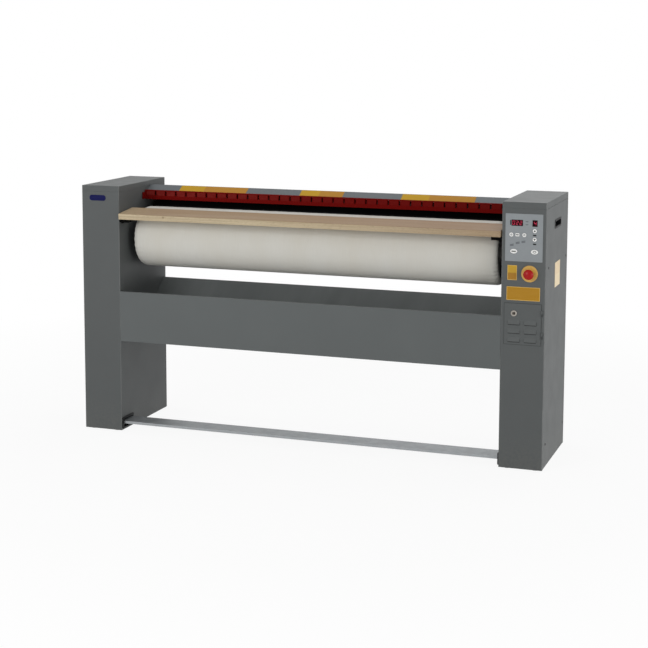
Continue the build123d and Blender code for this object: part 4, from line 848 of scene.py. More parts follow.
def rounded_outline(u: float, v: float, wide: float, high: float, radius: float, steps: int = 5) -> Flat:
    """Outline of a rectangle with round corners.

    Args:
        u: centre across.
        v: centre up.
        wide: full width.
        high: full height.
        radius: corner radius.
        steps: segments in each corner.

    Returns:
        Points, anticlockwise.
    """
    made: Flat = []
    for quarter, (a, b) in enumerate(((1, 1), (-1, 1), (-1, -1), (1, -1))):
        for step in range(steps + 1):
            turn = math.pi / 2 * (quarter + step / steps)
            made.append((u + a * (wide / 2 - radius) + radius * math.cos(turn),
                         v + b * (high / 2 - radius) + radius * math.sin(turn)))
    return made


def oval_outline(u: float, v: float, wide: float, high: float, steps: int = 32) -> Flat:
    """Outline of an ellipse, anticlockwise."""
    turns = [2 * math.pi * i / steps for i in range(steps)]
    return [(u + wide / 2 * math.cos(turn), v + high / 2 * math.sin(turn)) for turn in turns]


def skin(work: bmesh.types.BMesh, rings: Sequence[Sequence[bmesh.types.BMVert]]) -> None:
    """Joins each closed ring of vertices to the next one with quads.

    Args:
        work: the mesh that owns the vertices.
        rings: the rings in order, all of one length.
    """
    for lower, upper in zip(rings, rings[1:]):
        for i, corner in enumerate(lower):
            j = (i + 1) % len(lower)
            work.faces.new((corner, lower[j], upper[j], upper[i]))


def cap(work: bmesh.types.BMesh, rings: Sequence[Sequence[bmesh.types.BMVert]]) -> None:
    """Closes the first and the last ring with one face each."""
    work.faces.new(list(reversed(rings[0])))
    work.faces.new(rings[-1])


def piece_from(work: bmesh.types.BMesh, name: str, finish: Optional[Finish] = None,
               sharp: Optional[float] = None) -> Piece:
    """Turns a worked mesh into an object at the origin.

    Args:
        work: the mesh, which is freed.
        name: the object's name.
        finish: its material, if it has one yet.
        sharp: edges steeper than this, in degrees, stay sharp on a smooth piece.

    Returns:
        The object.
    """
    mesh = bpy.data.meshes.new(name)
    work.to_mesh(mesh)
    work.free()
    if sharp is not None:
        mesh.shade_smooth()
        mesh.set_sharp_from_angle(angle=math.radians(sharp))
    if finish is not None:
        mesh.materials.append(finish.make())
    return bpy.data.objects.new(name, mesh)


def settle(piece: Piece, body: str) -> Piece:
    """Links a piece and lets it ride.

    Args:
        piece: the finished object, at the origin.
        body: the body that carries it.

    Returns:
        The same piece.
    """
    bpy.context.scene.collection.objects.link(piece)
    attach(piece, body)
    return piece


class SlabMesh:
    """Collects thin raised shapes that belong to one piece."""

    def __init__(self, name: str, place: Placement) -> None:
        """Starts an empty piece on a flat place.

        Args:
            name: the piece's name.
            place: the face that carries it.
        """
        self.name = name
        self.place = place
        self.work = bmesh.new()

    def _line(self, outline: Flat, proud: float) -> list[bmesh.types.BMVert]:
        """Sets an outline's vertices, all equally proud of the place."""
        return [self.work.verts.new(self.place.point(u, v, proud)) for u, v in outline]

    def slab(self, outline: Flat, low: float, high: float, edge: float = 0.0) -> "SlabMesh":
        """Adds one closed raised shape with a chamfered rim.

        Args:
            outline: its points, anticlockwise as seen from outside.
            low: where it starts, proud of the place.
            high: where it ends.
            edge: width of the chamfer round its top.

        Returns:
            This collection.
        """
        inset: Flat = []
        for i, (u, v) in enumerate(outline):
            after = Vector(outline[(i + 1) % len(outline)])
            run = (after - Vector(outline[i - 1])).normalized()
            inset.append((u - run.y * edge, v + run.x * edge))
        rings = [self._line(outline, low), self._line(outline, high - edge), self._line(inset, high)]
        skin(self.work, rings)
        cap(self.work, rings)
        return self

    def ring(self, outer: Flat, inner: Flat, low: float, high: float) -> "SlabMesh":
        """Adds a closed raised band between two outlines of equal length.

        Args:
            outer: the outside, anticlockwise.
            inner: the inside, with as many points.
            low: where it starts.
            high: where it ends.

        Returns:
            This collection.
        """
        loops = [self._line(line, proud)
                 for line, proud in ((outer, low), (outer, high), (inner, high), (inner, low))]
        skin(self.work, [*loops, loops[0]])
        return self

    def finish(self, finish: Finish, body: str, slot: str) -> Piece:
        """Turns the collection into a piece that rides on a body.

        Args:
            finish: its material.
            body: the body that carries it.
            slot: not used.

        Returns:
            The piece.
        """
        bmesh.ops.recalc_face_normals(self.work, faces=self.work.faces)
        return settle(piece_from(self.work, self.name, finish), body)


def start_tree(name: str, inputs: dict[str, str]) -> tuple[Tree, bpy.types.Node]:
    """Starts a geometry tree with named inputs.

    Args:
        name: the tree's name.
        inputs: kind of each input after the geometry, by its name.

    Returns:
        The tree and its group input.
    """
    tree = bpy.data.node_groups.new(name, "GeometryNodeTree")
    for title, kind in {"Geometry": "Geometry", **inputs}.items():
        tree.interface.new_socket(title, in_out="INPUT", socket_type="NodeSocket" + kind)
    tree.interface.new_socket("Geometry", in_out="OUTPUT", socket_type="NodeSocketGeometry")
    return tree, add_node(tree, "NodeGroupInput")


def end_tree(tree: Tree, copies: bpy.types.Node, finish: Socket) -> None:
    """Makes a tree's instances real, gives them their material and sends them out.

    Args:
        tree: the geometry tree.
        copies: the node that sets the instances.
        finish: the input with their material.
    """
    real = add_node(tree, "GeometryNodeRealizeInstances", {"Geometry": copies.outputs[0]})
    dressed = add_node(tree, "GeometryNodeSetMaterial", {"Geometry": real.outputs[0], "Material": finish})
    add_node(tree, "NodeGroupOutput", {0: dressed.outputs[0]})


def grown(name: str, mesh: bpy.types.Mesh, tree: Tree, values: dict[str, object]) -> Piece:
    """Runs a geometry tree on a mesh and keeps the plain result.

    Args:
        name: the new piece's name.
        mesh: the mesh that it starts from.
        tree: the geometry tree.
        values: its inputs by name.

    Returns:
        The piece, with no modifier left.
    """
    seed = bpy.data.objects.new(name + "_seed", mesh)
    bpy.context.scene.collection.objects.link(seed)
    modifier = seed.modifiers.new("grow", "NODES")
    modifier.node_group = tree
    for item in tree.interface.items_tree:
        if item.in_out == "INPUT" and item.name in values:
            modifier[item.identifier] = values[item.name]
    bpy.context.view_layer.update()
    evaluated = seed.evaluated_get(bpy.context.evaluated_depsgraph_get())
    made = bpy.data.meshes.new_from_object(evaluated)
    seed.modifiers.remove(modifier)
    bpy.data.objects.remove(seed)
    made.name = name
    return bpy.data.objects.new(name, made)


def pad_row_tree() -> Tree:
    """Row of low raised pads with round corners, as pressed into a strip of sheet.

    Returns:
        The tree, with the row's count, pitch and start, a pad's shape, and the finish as inputs.
    """
    tree, given = start_tree("raised_pads", {
        "Count": "Int", "Pitch": "Vector", "Start": "Vector", "Width": "Float", "Height": "Float",
        "Corner": "Float", "Corner Steps": "Int", "Rise": "Float", "Top Scale": "Float",
        "Facing": "Rotation", "Finish": "Material"})
    asked = given.outputs
    places = add_node(tree, "GeometryNodeMeshLine", {
        "Count": asked["Count"], "Start Location": asked["Start"], "Offset": asked["Pitch"]}, mode="OFFSET")
    outline = add_node(tree, "GeometryNodeCurvePrimitiveQuadrilateral", {
        "Width": asked["Width"], "Height": asked["Height"]}, mode="RECTANGLE")
    softened = add_node(tree, "GeometryNodeFilletCurve", {
        "Curve": outline.outputs[0], "Count": asked["Corner Steps"], "Radius": asked["Corner"]}, mode="POLY")
    face = add_node(tree, "GeometryNodeFillCurve", {"Curve": softened.outputs[0]})
    raised = add_node(tree, "GeometryNodeExtrudeMesh", {
        "Mesh": face.outputs[0], "Offset Scale": asked["Rise"], "Individual": False}, mode="FACES")
    shrunk = add_node(tree, "GeometryNodeScaleElements", {
        "Geometry": raised.outputs["Mesh"], "Selection": raised.outputs["Top"],
        "Scale": asked["Top Scale"]}, domain="FACE")
    under = add_node(tree, "GeometryNodeFlipFaces", {"Mesh": face.outputs[0]})
    closed = add_node(tree, "GeometryNodeJoinGeometry", {"Geometry": shrunk.outputs[0]})
    tree.links.new(under.outputs[0], closed.inputs[0])
    merged = add_node(tree, "GeometryNodeMergeByDistance", {"Geometry": closed.outputs[0],
                                                            "Distance": MERGE_WITHIN})
    row = add_node(tree, "GeometryNodeInstanceOnPoints", {
        "Points": places.outputs[0], "Instance": merged.outputs[0], "Rotation": asked["Facing"]})
    end_tree(tree, row, asked["Finish"])
    return tree


def fastener_tree() -> Tree:
    """One screw head on each point of a mesh, each turned by its own fixed random angle.

    Returns:
        The tree, with the head, its facing, a seed and a finish as inputs.
    """
    tree, given = start_tree("fasteners", {"Head": "Object", "Facing": "Rotation", "Seed": "Int",
                                           "Finish": "Material"})
    asked = given.outputs
    head = add_node(tree, "GeometryNodeObjectInfo", {"Object": asked["Head"]}, transform_space="ORIGINAL")
    turn = add_node(tree, "FunctionNodeRandomValue", {0: (0.0, 0.0, 0.0), 1: (0.0, 0.0, WHOLE_TURN),
                                                      "Seed": asked["Seed"]}, data_type="FLOAT_VECTOR")
    twist = add_node(tree, "FunctionNodeEulerToRotation", {0: turn.outputs[0]})
    facing = add_node(tree, "FunctionNodeRotateRotation", {0: asked["Facing"], 1: twist.outputs[0]},
                      rotation_space="LOCAL")
    heads = add_node(tree, "GeometryNodeInstanceOnPoints", {
        "Points": asked["Geometry"], "Instance": head.outputs["Geometry"], "Rotation": facing.outputs[0]})
    end_tree(tree, heads, asked["Finish"])
    return tree


@dataclass
class Fasteners:
    """Pan-head screws with a cross recess, shared by the covers."""

    radius: float = 0.0046
    rise: float = 0.0019
    sides: int = 16
    # radius and height of each ring in shares of the above, up the dome and into the recess
    rings: Flat = field(default_factory=lambda: [(1.0, 0.0), (1.0, 0.45), (0.86, 0.8), (0.55, 1.0),
                                                 (0.5, 0.55)])
    # every second corner of the recess is drawn in, which gives the cross
    pinch: float = 0.42
    seed: int = 7

    def __post_init__(self) -> None:
        """Makes the tree and the one head that all screws share."""
        self.tree = fastener_tree()
        self.head = self.build_head()

    def build_head(self) -> Piece:
        """Models one head, its foot on z = 0 and its dome up.

        Returns:
            The head, kept out of the scene.
        """
        work = bmesh.new()
        rings = []
        for share, lift in self.rings:
            pinch = self.pinch if (share, lift) == self.rings[-1] else 1.0
            ring = []
            for i in range(self.sides):
                turn = 2 * math.pi * i / self.sides
                ring.append(work.verts.new((self.radius * share * math.cos(turn),
                                            self.radius * share * math.sin(turn) * (pinch if i % 2 else 1.0),
                                            self.rise * lift)))
            rings.append(ring)
        skin(work, rings)
        cap(work, rings)
        return piece_from(work, "screw_head")

    def rows(self, name: str, points: Iterable[Vector], facing: Point, body: str) -> Piece:
        """Sets screws on points.

        Args:
            name: the piece's name.
            points: where the heads sit.
            facing: turn of the heads, in radians about X, Y and Z.
            body: the body that carries them.

        Returns:
            The piece.
        """
        mesh = bpy.data.meshes.new(name + "_points")
        mesh.from_pydata([tuple(p) for p in points], [], [])
        piece = grown(name, mesh, self.tree, {"Head": self.head, "Facing": facing, "Seed": self.seed,
                                              "Finish": SCREW_STEEL.make()})
        return settle(piece, body)


@dataclass
class Stand:
    """Two sheet-steel columns with their covers, the covers between them, and what they stand on."""

    fasteners: Fasteners
    column_screw_x: tuple[float, ...] = (0.846, 0.98)
    column_screw_z: tuple[float, ...] = (0.11, 0.50, 0.93)
    cover_screw_x: tuple[float, ...] = (-0.78, -0.39, 0.0, 0.39, 0.78)
    cover_screw_z: tuple[float, ...] = (0.748, 0.985)
    backward: Point = (-math.pi / 2, 0.0, 0.0)

    def build(self) -> list[Piece]:
        """Dresses the stand's nodes and adds the fasteners at the back.

        Returns:
            The new pieces.
        """
        dress(ENAMEL, "left_column_shell", "right_column_shell", "left_top_cap", "right_top_cap",
              "left_side_panel", "right_side_panel", "rear_cover")
        dress(COVER_ENAMEL, "top_cover")
        dress(DOOR_ENAMEL, "access_door")
        dress(TRAY_ENAMEL, "linen_tray")
        dress(ZINC, "left_side_frame", "right_side_frame", "base_plates")
        dress(RUBBER, "foot_pads")
        dress(BLACK_SCREW, "side_panel_screws")
        dress(BLACK_PLASTIC, "side_grip", "cable_gland", "switch_blocks")
        dress(CONTACTOR_PLASTIC, "contactor_plate")
        columns = [Vector((side * x, BACK, z)) for side in (-1, 1) for x in self.column_screw_x
                   for z in self.column_screw_z]
        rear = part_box("rear_cover")[1].y
        cover = [Vector((x, rear, z)) for x in self.cover_screw_x for z in self.cover_screw_z]
        return [self.fasteners.rows("column_back_screws", columns, self.backward, "stand"),
                self.fasteners.rows("rear_cover_screws", cover, self.backward, "stand")]


@dataclass
class RollerCover:
    """Padded roller in its press cloth, which is gathered over both rounded ends."""

    # Y and Z of the roller's axis, half its length over the cloth, and its radius there
    centre: tuple[float, float] = (-0.027, 0.829)
    half: float = 0.794
    radius: float = 0.1288
    # the rounded shoulder along the roller and inwards, and the hem's radius
    shoulder: tuple[float, float] = (0.026, 0.015)
    hem: float = 0.1005
    # the hem lies this far inside the end, and the cloth bulges out from it
    hem_depth: float = 0.0035
    bulge: float = 1.4
    # how strongly the gathers show at the hem, where the shoulder starts and where it ends
    gathered: tuple[float, float, float] = (1.0, 0.65, 0.30)
    # past the shoulder the gathers fade out over this length
    fades_over: float = 0.07
    end_steps: tuple[int, int, int] = (9, 12, 12)
    round_steps: int = 240
    length_steps: int = 128
    gathers: int = 34
    gather_depth: float = 0.0011
    slack: tuple[float, float] = (0.0022, 0.0012)
    ripple: float = 0.00022
    thickness: float = 0.0009
    flat: tuple[float, float] = (0.811, 1.66)
    # the felt: outer and inner radius, how much shorter it is at each end, and its shoulder's edge
    felt_radii: tuple[float, float] = (0.1262, 0.11505)
    felt_short: float = 0.0055
    felt_shoulder: float = 0.024
    felt_edge: float = 0.0006
    felt_sides: int = 96
    shoulder_steps: int = 6
    half_steps: int = 8
    lap: float = 0.0011

    def _profile(self) -> list[Point]:
        """Half section from one hem to the other.

        Returns:
            X, radius and how strongly the gathers show, for each ring.
        """
        along, inward = self.shoulder
        flat_steps, curve_steps, fade_steps = self.end_steps
        at_hem, at_end, at_shoulder = self.gathered
        end: list[Point] = []
        for i in range(flat_steps):
            share = i / flat_steps
            end.append((self.half - self.hem_depth * (1 - share) ** self.bulge,
                        self.hem + share * (self.radius - inward - self.hem),
                        at_hem + (at_end - at_hem) * share))
        for i in range(curve_steps):
            share = i / (curve_steps - 1)
            turn = math.pi / 2 * share
            end.append((self.half - along * (1 - math.cos(turn)),
                        self.radius - inward * (1 - math.sin(turn)), at_end + (at_shoulder - at_end) * share))
        inner = self.half - along
        for i in range(1, fade_steps):
            share = i / fade_steps
            end.append((inner - self.fades_over * share, self.radius, at_shoulder * (1 - share) ** 2))
        start = inner - self.fades_over
        middle = [(-start + 2 * start * i / self.length_steps, self.radius, 0.0)
                  for i in range(self.length_steps + 1)]
        return [(-x, r, g) for x, r, g in end] + middle + list(reversed(end))

    def _ripple(self, x: float, turn: float) -> float:
        """Waves of the wound cloth, never more than 0.3 mm above its radius.

        Args:
            x: place along the roller.
            turn: angle round the roller.

        Returns:
            How far the cloth lies off its radius, in metres.
        """
        wound = 0.35 * math.sin(63.0 * x + 0.9 * math.sin(turn)) + 0.25 * math.sin(147.0 * x - turn)
        lengthwise = 0.28 * math.sin(3 * turn + 2.1 * x) + 0.22 * math.sin(7 * turn - 1.3 * x)
        return self.ripple * (wound + lengthwise)

    def _cloth_point(self, x: float, radius: float, gather: float, turn: float) -> Point:
        """Place of one point of the cloth.

        Args:
            x: its ring's place along the roller.
            radius: its ring's radius.
            gather: how strongly the gathers show there.
            turn: its angle round the roller.

        Returns:
            The point.
        """
        side = 1.0 if x > 0 else -1.0
        phase = self.gathers * turn + 1.7 * math.sin(3 * turn + side) + 0.8 * math.sin(7 * turn)
        fold = math.sin(phase) * (0.75 + 0.25 * math.sin(5 * turn + 2 * side))
        off = radius + self._ripple(x, turn) + gather * self.gather_depth * (fold - 0.6)
        deep, wavy = self.slack
        slack = side * gather ** 2 * (deep * fold - deep + wavy * math.sin(2 * turn + side))
        return (x + slack, self.centre[0] + off * math.cos(turn), self.centre[1] + off * math.sin(turn))

    def _map_cloth(self, mesh: bpy.types.Mesh, run: Sequence[float]) -> None:
        """Gives the cloth its map in metres, open along one line.

        Args:
            mesh: the cloth.
            run: length of cloth from the first hem to each ring.
        """
        uv = mesh.uv_layers.new(name="cloth_metres")
        step = 2 * math.pi * self.radius / self.round_steps
        for polygon in mesh.polygons:
            columns = [v % self.round_steps for v in polygon.vertices]
            wraps = max(columns) - min(columns) > 1
            for loop, vertex, column in zip(polygon.loop_indices, polygon.vertices, columns):
                turned = column + (self.round_steps if wraps and column == 0 else 0)
                uv.data[loop].uv = (step * turned, run[vertex // self.round_steps])

    def build_cloth(self) -> Piece:
        """Weaves the cover as one sheet with a map in metres.

        Returns:
            The cover.
        """
        profile, around = self._profile(), self.round_steps
        run = [0.0]
        for (x0, r0, _), (x1, r1, _) in zip(profile, profile[1:]):
            run.append(run[-1] + math.hypot(x1 - x0, r1 - r0))
        points = [self._cloth_point(*ring, 2 * math.pi * j / around)
                  for ring in profile for j in range(around)]
        faces = [(i + j, i + (j + 1) % around, i + around + (j + 1) % around, i + around + j)
                 for i in range(0, len(points) - around, around) for j in range(around)]
        mesh = bpy.data.meshes.new("roller_cover")
        mesh.from_pydata(points, [], faces)
        self._map_cloth(mesh, run)
        mesh.shade_smooth()
        mesh.materials.append(COVER_CLOTH.make())
        cover = bpy.data.objects.new("roller_cover", mesh)
        wall = cover.modifiers.new("cloth", "SOLIDIFY")
        wall.thickness = self.thickness
        wall.offset = -1.0
        return cover

    def build_padding(self) -> Piece:
        """Felt wrap under the cloth, its outer turn ending in a lapped edge.

        Returns:
            The padding.
        """
        outer, inner = self.felt_radii
        half, along, inward = self.half - self.felt_short, self.felt_shoulder, outer - inner - self.felt_edge
        end = [(half, inner)]
        for i in range(self.shoulder_steps + 1):
            turn = math.pi / 2 * i / self.shoulder_steps
            end.append((half - along * (1 - math.cos(turn)), outer - inward * (1 - math.sin(turn))))
        shares = [i / self.half_steps for i in range(1, self.half_steps)]
        section = [*end, *(((half - along) * (1 - share), outer) for share in shares),
                   *(((along - half) * share, outer) for share in shares),
                   *((-x, r) for x, r in reversed(end))]
        work = bmesh.new()
        rings = []
        for x, radius in section:
            ring = []
            for j in range(self.felt_sides):
                turn = 2 * math.pi * j / self.felt_sides
                off = radius - (self.lap * j / self.felt_sides if radius > inner else 0.0)
                ring.append(work.verts.new((x, self.centre[0] + off * math.cos(turn),
                                            self.centre[1] + off * math.sin(turn))))
            rings.append(ring)
        skin(work, [*rings, rings[0]])
        bmesh.ops.recalc_face_normals(work, faces=work.faces)
        return piece_from(work, "roller_felt", FELT, sharp=40.0)

    def build(self) -> list[Piece]:
        """Returns:
            The new pieces.
        """
        dress(DRUM_STEEL, "roller_drum")
        dress(JOURNAL_LIT_GREY, "left_journal", "right_journal")
        felt = settle(self.build_padding(), "roller")
        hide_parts("roller_padding")
        cover = settle(self.build_cloth(), "roller")
        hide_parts("roller_cloth")
        return [felt, cover]


@dataclass
class HeatedBed:
    """Concave heated bed with its wool, casing, lever linkage and motor."""

    # Y and Z of the bed's axis, the wool's inner and outer radius, its edges in degrees, half its length
    centre: tuple[float, float] = (-0.01754, 0.83586)
    radii: tuple[float, float] = (0.1528, 0.1843)
    angles: tuple[float, float] = (-33.2, 47.7)
    half: float = 0.7945
    # wires tie the wool down at this pitch along the bed and at this angle round it, in radians
    wire_pitch: float = 0.066
    wire_turn: float = 0.4
    tied_in: float = 0.0016
    # the wool's long edges are rounded by this much over this many steps
    rim: float = 0.007
    rim_steps: float = 1.6
    steps_along: int = 132
    steps_round: int = 30

    def _lane(self, across: float) -> list[tuple[float, float]]:
        """Section of the wool at one place across it.

        Args:
            across: X in metres.

        Returns:
            Radius and angle in degrees of each point, once round.
        """
        inner, outer = self.radii
        start, end = self.angles
        made = []
        for side in (1, -1):
            for i in range(self.steps_round + 1):
                share = i / self.steps_round
                angle = start + (end - start) * (share if side > 0 else 1 - share)
                from_edge = min(share, 1 - share) * self.steps_round / self.rim_steps
                rounded = self.rim * max(0.0, 1 - from_edge) ** 2
                tied = abs(math.sin(across * math.pi / self.wire_pitch)
                           * math.sin(math.radians(angle) * math.pi / self.wire_turn))
                inset = self.tied_in * (1 - tied) + rounded
                made.append((outer - inset if side > 0 else inner + inset, angle))
        return made

    def build_wool(self) -> Piece:
        """Lays the wool behind the bed, drawn in where wire ties it down every 66 mm.

        Returns:
            The wool.
        """
        work = bmesh.new()
        rings = []
        for k in range(self.steps_along + 1):
            x = -self.half + 2 * self.half * k / self.steps_along
            rings.append([work.verts.new((x, self.centre[0] + r * math.cos(math.radians(a)),
                                          self.centre[1] + r * math.sin(math.radians(a))))
                          for r, a in self._lane(x)])
        skin(work, rings)
        for ring in (rings[0], rings[-1]):
            for i in range(self.steps_round):
                work.faces.new((ring[i], ring[i + 1], ring[-i - 2], ring[-i - 1]))
        bmesh.ops.recalc_face_normals(work, faces=work.faces)
        return piece_from(work, "bed_wool", WOOL, sharp=50.0)

    def build(self) -> list[Piece]:
        """Makes the wool and dresses the bed's nodes.

        Returns:
            The wool.
        """
        dress(BED_ALUMINIUM, "heated_bed")
        dress(BLACK_STEEL, "bed_heaters")
        dress(HEAT_BLACK, "bed_casing")
        dress(BRIGHT_STEEL, "bed_shafts", "bed_link", "bed_crank")
        dress(MOTOR_PAINT, "bed_motor")
        wool = settle(self.build_wool(), "bed")
        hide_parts("bed_insulation")
        return [wool]


@dataclass
class Drive:
    """Gear motor, chain wheels, chain and bearings of the roller."""

    def build(self) -> list[Piece]:
        """Dresses the drive's nodes.

        Returns:
            No new pieces.
        """
        dress(MOTOR_PAINT, "gear_motor")
        dress(CAST_GREY, "roller_bearings")
        dress(OILED_CHAIN, "roller_sprocket", "motor_sprocket", "drive_chain")
        return []


@dataclass
class FeedBoard:
    """Beech feeding board on its two brackets."""

    def build(self) -> list[Piece]:
        """Dresses the board's nodes.

        Returns:
            No new pieces.
        """
        dress(BEECH, "feed_board")
        dress(HEAT_BLACK, "board_brackets")
        return []


@dataclass
class FingerGuard:
    """Red slotted guard with a low raised pad between each pair of slots."""

    pads: int = 34
    pitch: float = 0.04821
    first: Point = (-0.795465, 0.0251, 1.0085)
    pad_size: tuple[float, float] = (0.0365, 0.0195)
    corner: float = 0.003
    corner_steps: int = 4
    rise: float = 0.0006
    top_scale: float = 0.965

    def build(self) -> list[Piece]:
        """Grows the pads and dresses the guard.

        Returns:
            The new pieces.
        """
        dress(GUARD_RED, "finger_guard")
        dress(HEAT_BLACK, "guard_rod")
        row = grown("guard_pads", bpy.data.meshes.new("guard_pads_seed"), pad_row_tree(), {
            "Count": self.pads, "Pitch": (self.pitch, 0.0, 0.0), "Start": self.first,
            "Width": self.pad_size[0], "Height": self.pad_size[1], "Corner": self.corner,
            "Corner Steps": self.corner_steps, "Rise": self.rise, "Top Scale": self.top_scale,
            "Facing": (math.pi / 2, 0.0, 0.0), "Finish": PAD_RED.make()})
        return [settle(row, "guard")]


@dataclass
class BlankPlates:
    """The machine's plates, each left without words or signs."""

    small: Spot = (0.8685, 0.784, 0.037, 0.058)
    wide: Spot = (0.9135, 0.7025, 0.131, 0.053)
    badge: Spot = (-0.926, 1.008, 0.076, 0.024)
    side: Spot = (0.022, 0.752, 0.104, 0.100)
    rim: float = 0.0018
    # width of the cover's slope, the bare strip beside a plate, and each plate's ends and colour join
    fascia: float = 0.0525
    margin: float = 0.002
    cover: tuple[tuple[float, float, float], ...] = (
        (-0.672, -0.358, -0.557), (-0.113, 0.079, -0.0275), (0.335, 0.649, 0.4535))

    def _plate(self, name: str, face: Placement, spot: Spot, finish: Finish, corner: float = 0.0015,
               steps: int = 5, rise: float = 0.0006, edge: float = 0.0002) -> Piece:
        """Makes one plate.

        Args:
            name: the piece's name.
            face: the face that carries it.
            spot: its middle across and up, its width and its height.
            finish: its material.
            corner: radius of its corners.
            steps: segments in each corner.
            rise: its thickness.
            edge: width of its chamfer.

        Returns:
            The plate.
        """
        plate = SlabMesh(name, face).slab(rounded_outline(*spot, corner, steps), GLUE_LINE, rise, edge)
        return plate.finish(finish, "stand", "label_yellow")

    def build(self) -> list[Piece]:
        """Makes every plate with its own tones.

        Returns:
            The new pieces.
        """
        made = []
        for number, (start, end, split) in enumerate(self.cover, 1):
            film = PrintedFilm(f"cover_plate_film_{number}", "CAA036", 0.45, specular=0.02, second="BE8A3E",
                               split=split, fade=0.12, faded="B0924A")
            spot = ((start + end) / 2, self.fascia / 2, end - start, self.fascia - 2 * self.margin)
            made.append(self._plate(f"cover_plate_{number}", FACE_FASCIA, spot, film, corner=0.002))
        made.append(self._plate("small_notice_plate", FACE_FRONT, self.small, NOTICE_SMALL))
        made.append(self._plate("wide_notice_plate", FACE_FRONT, self.wide, NOTICE_WIDE))
        rims = SlabMesh("notice_rims", FACE_FRONT)
        for u, v, wide, high in (self.small, self.wide):
            rims.ring(rounded_outline(u, v, wide, high, 0.0015),
                      rounded_outline(u, v, wide - 2 * self.rim, high - 2 * self.rim, 0.0006), 0.0004, 0.0007)
        made.append(rims.finish(NOTICE_RIM, "stand", "label_yellow"))
        made.append(self._plate("badge_plate", FACE_FRONT, self.badge, BADGE_BLUE, 0.0112, 8, 0.0015, 0.0005))
        made.append(self._plate("side_data_plate", FACE_SIDE, self.side, SIDE_CREAM))
        for plate in made:
            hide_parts("label_plates")
        return made


class Digit(Enum):
    """Lit segments of a digit: top, upper right, lower right, bottom, lower left, upper left, middle."""

    ZERO = "abcdef"
    TWO = "abdeg"
    FOUR = "bcfg"


# both ends of each segment of a digit, in half widths and half heights from its middle
SEGMENTS = {"a": ((-1, 1), (1, 1)), "b": ((1, 1), (1, 0)), "c": ((1, 0), (1, -1)), "d": ((-1, -1), (1, -1)),
            "e": ((-1, -1), (-1, 0)), "f": ((-1, 0), (-1, 1)), "g": ((-1, 0), (1, 0))}


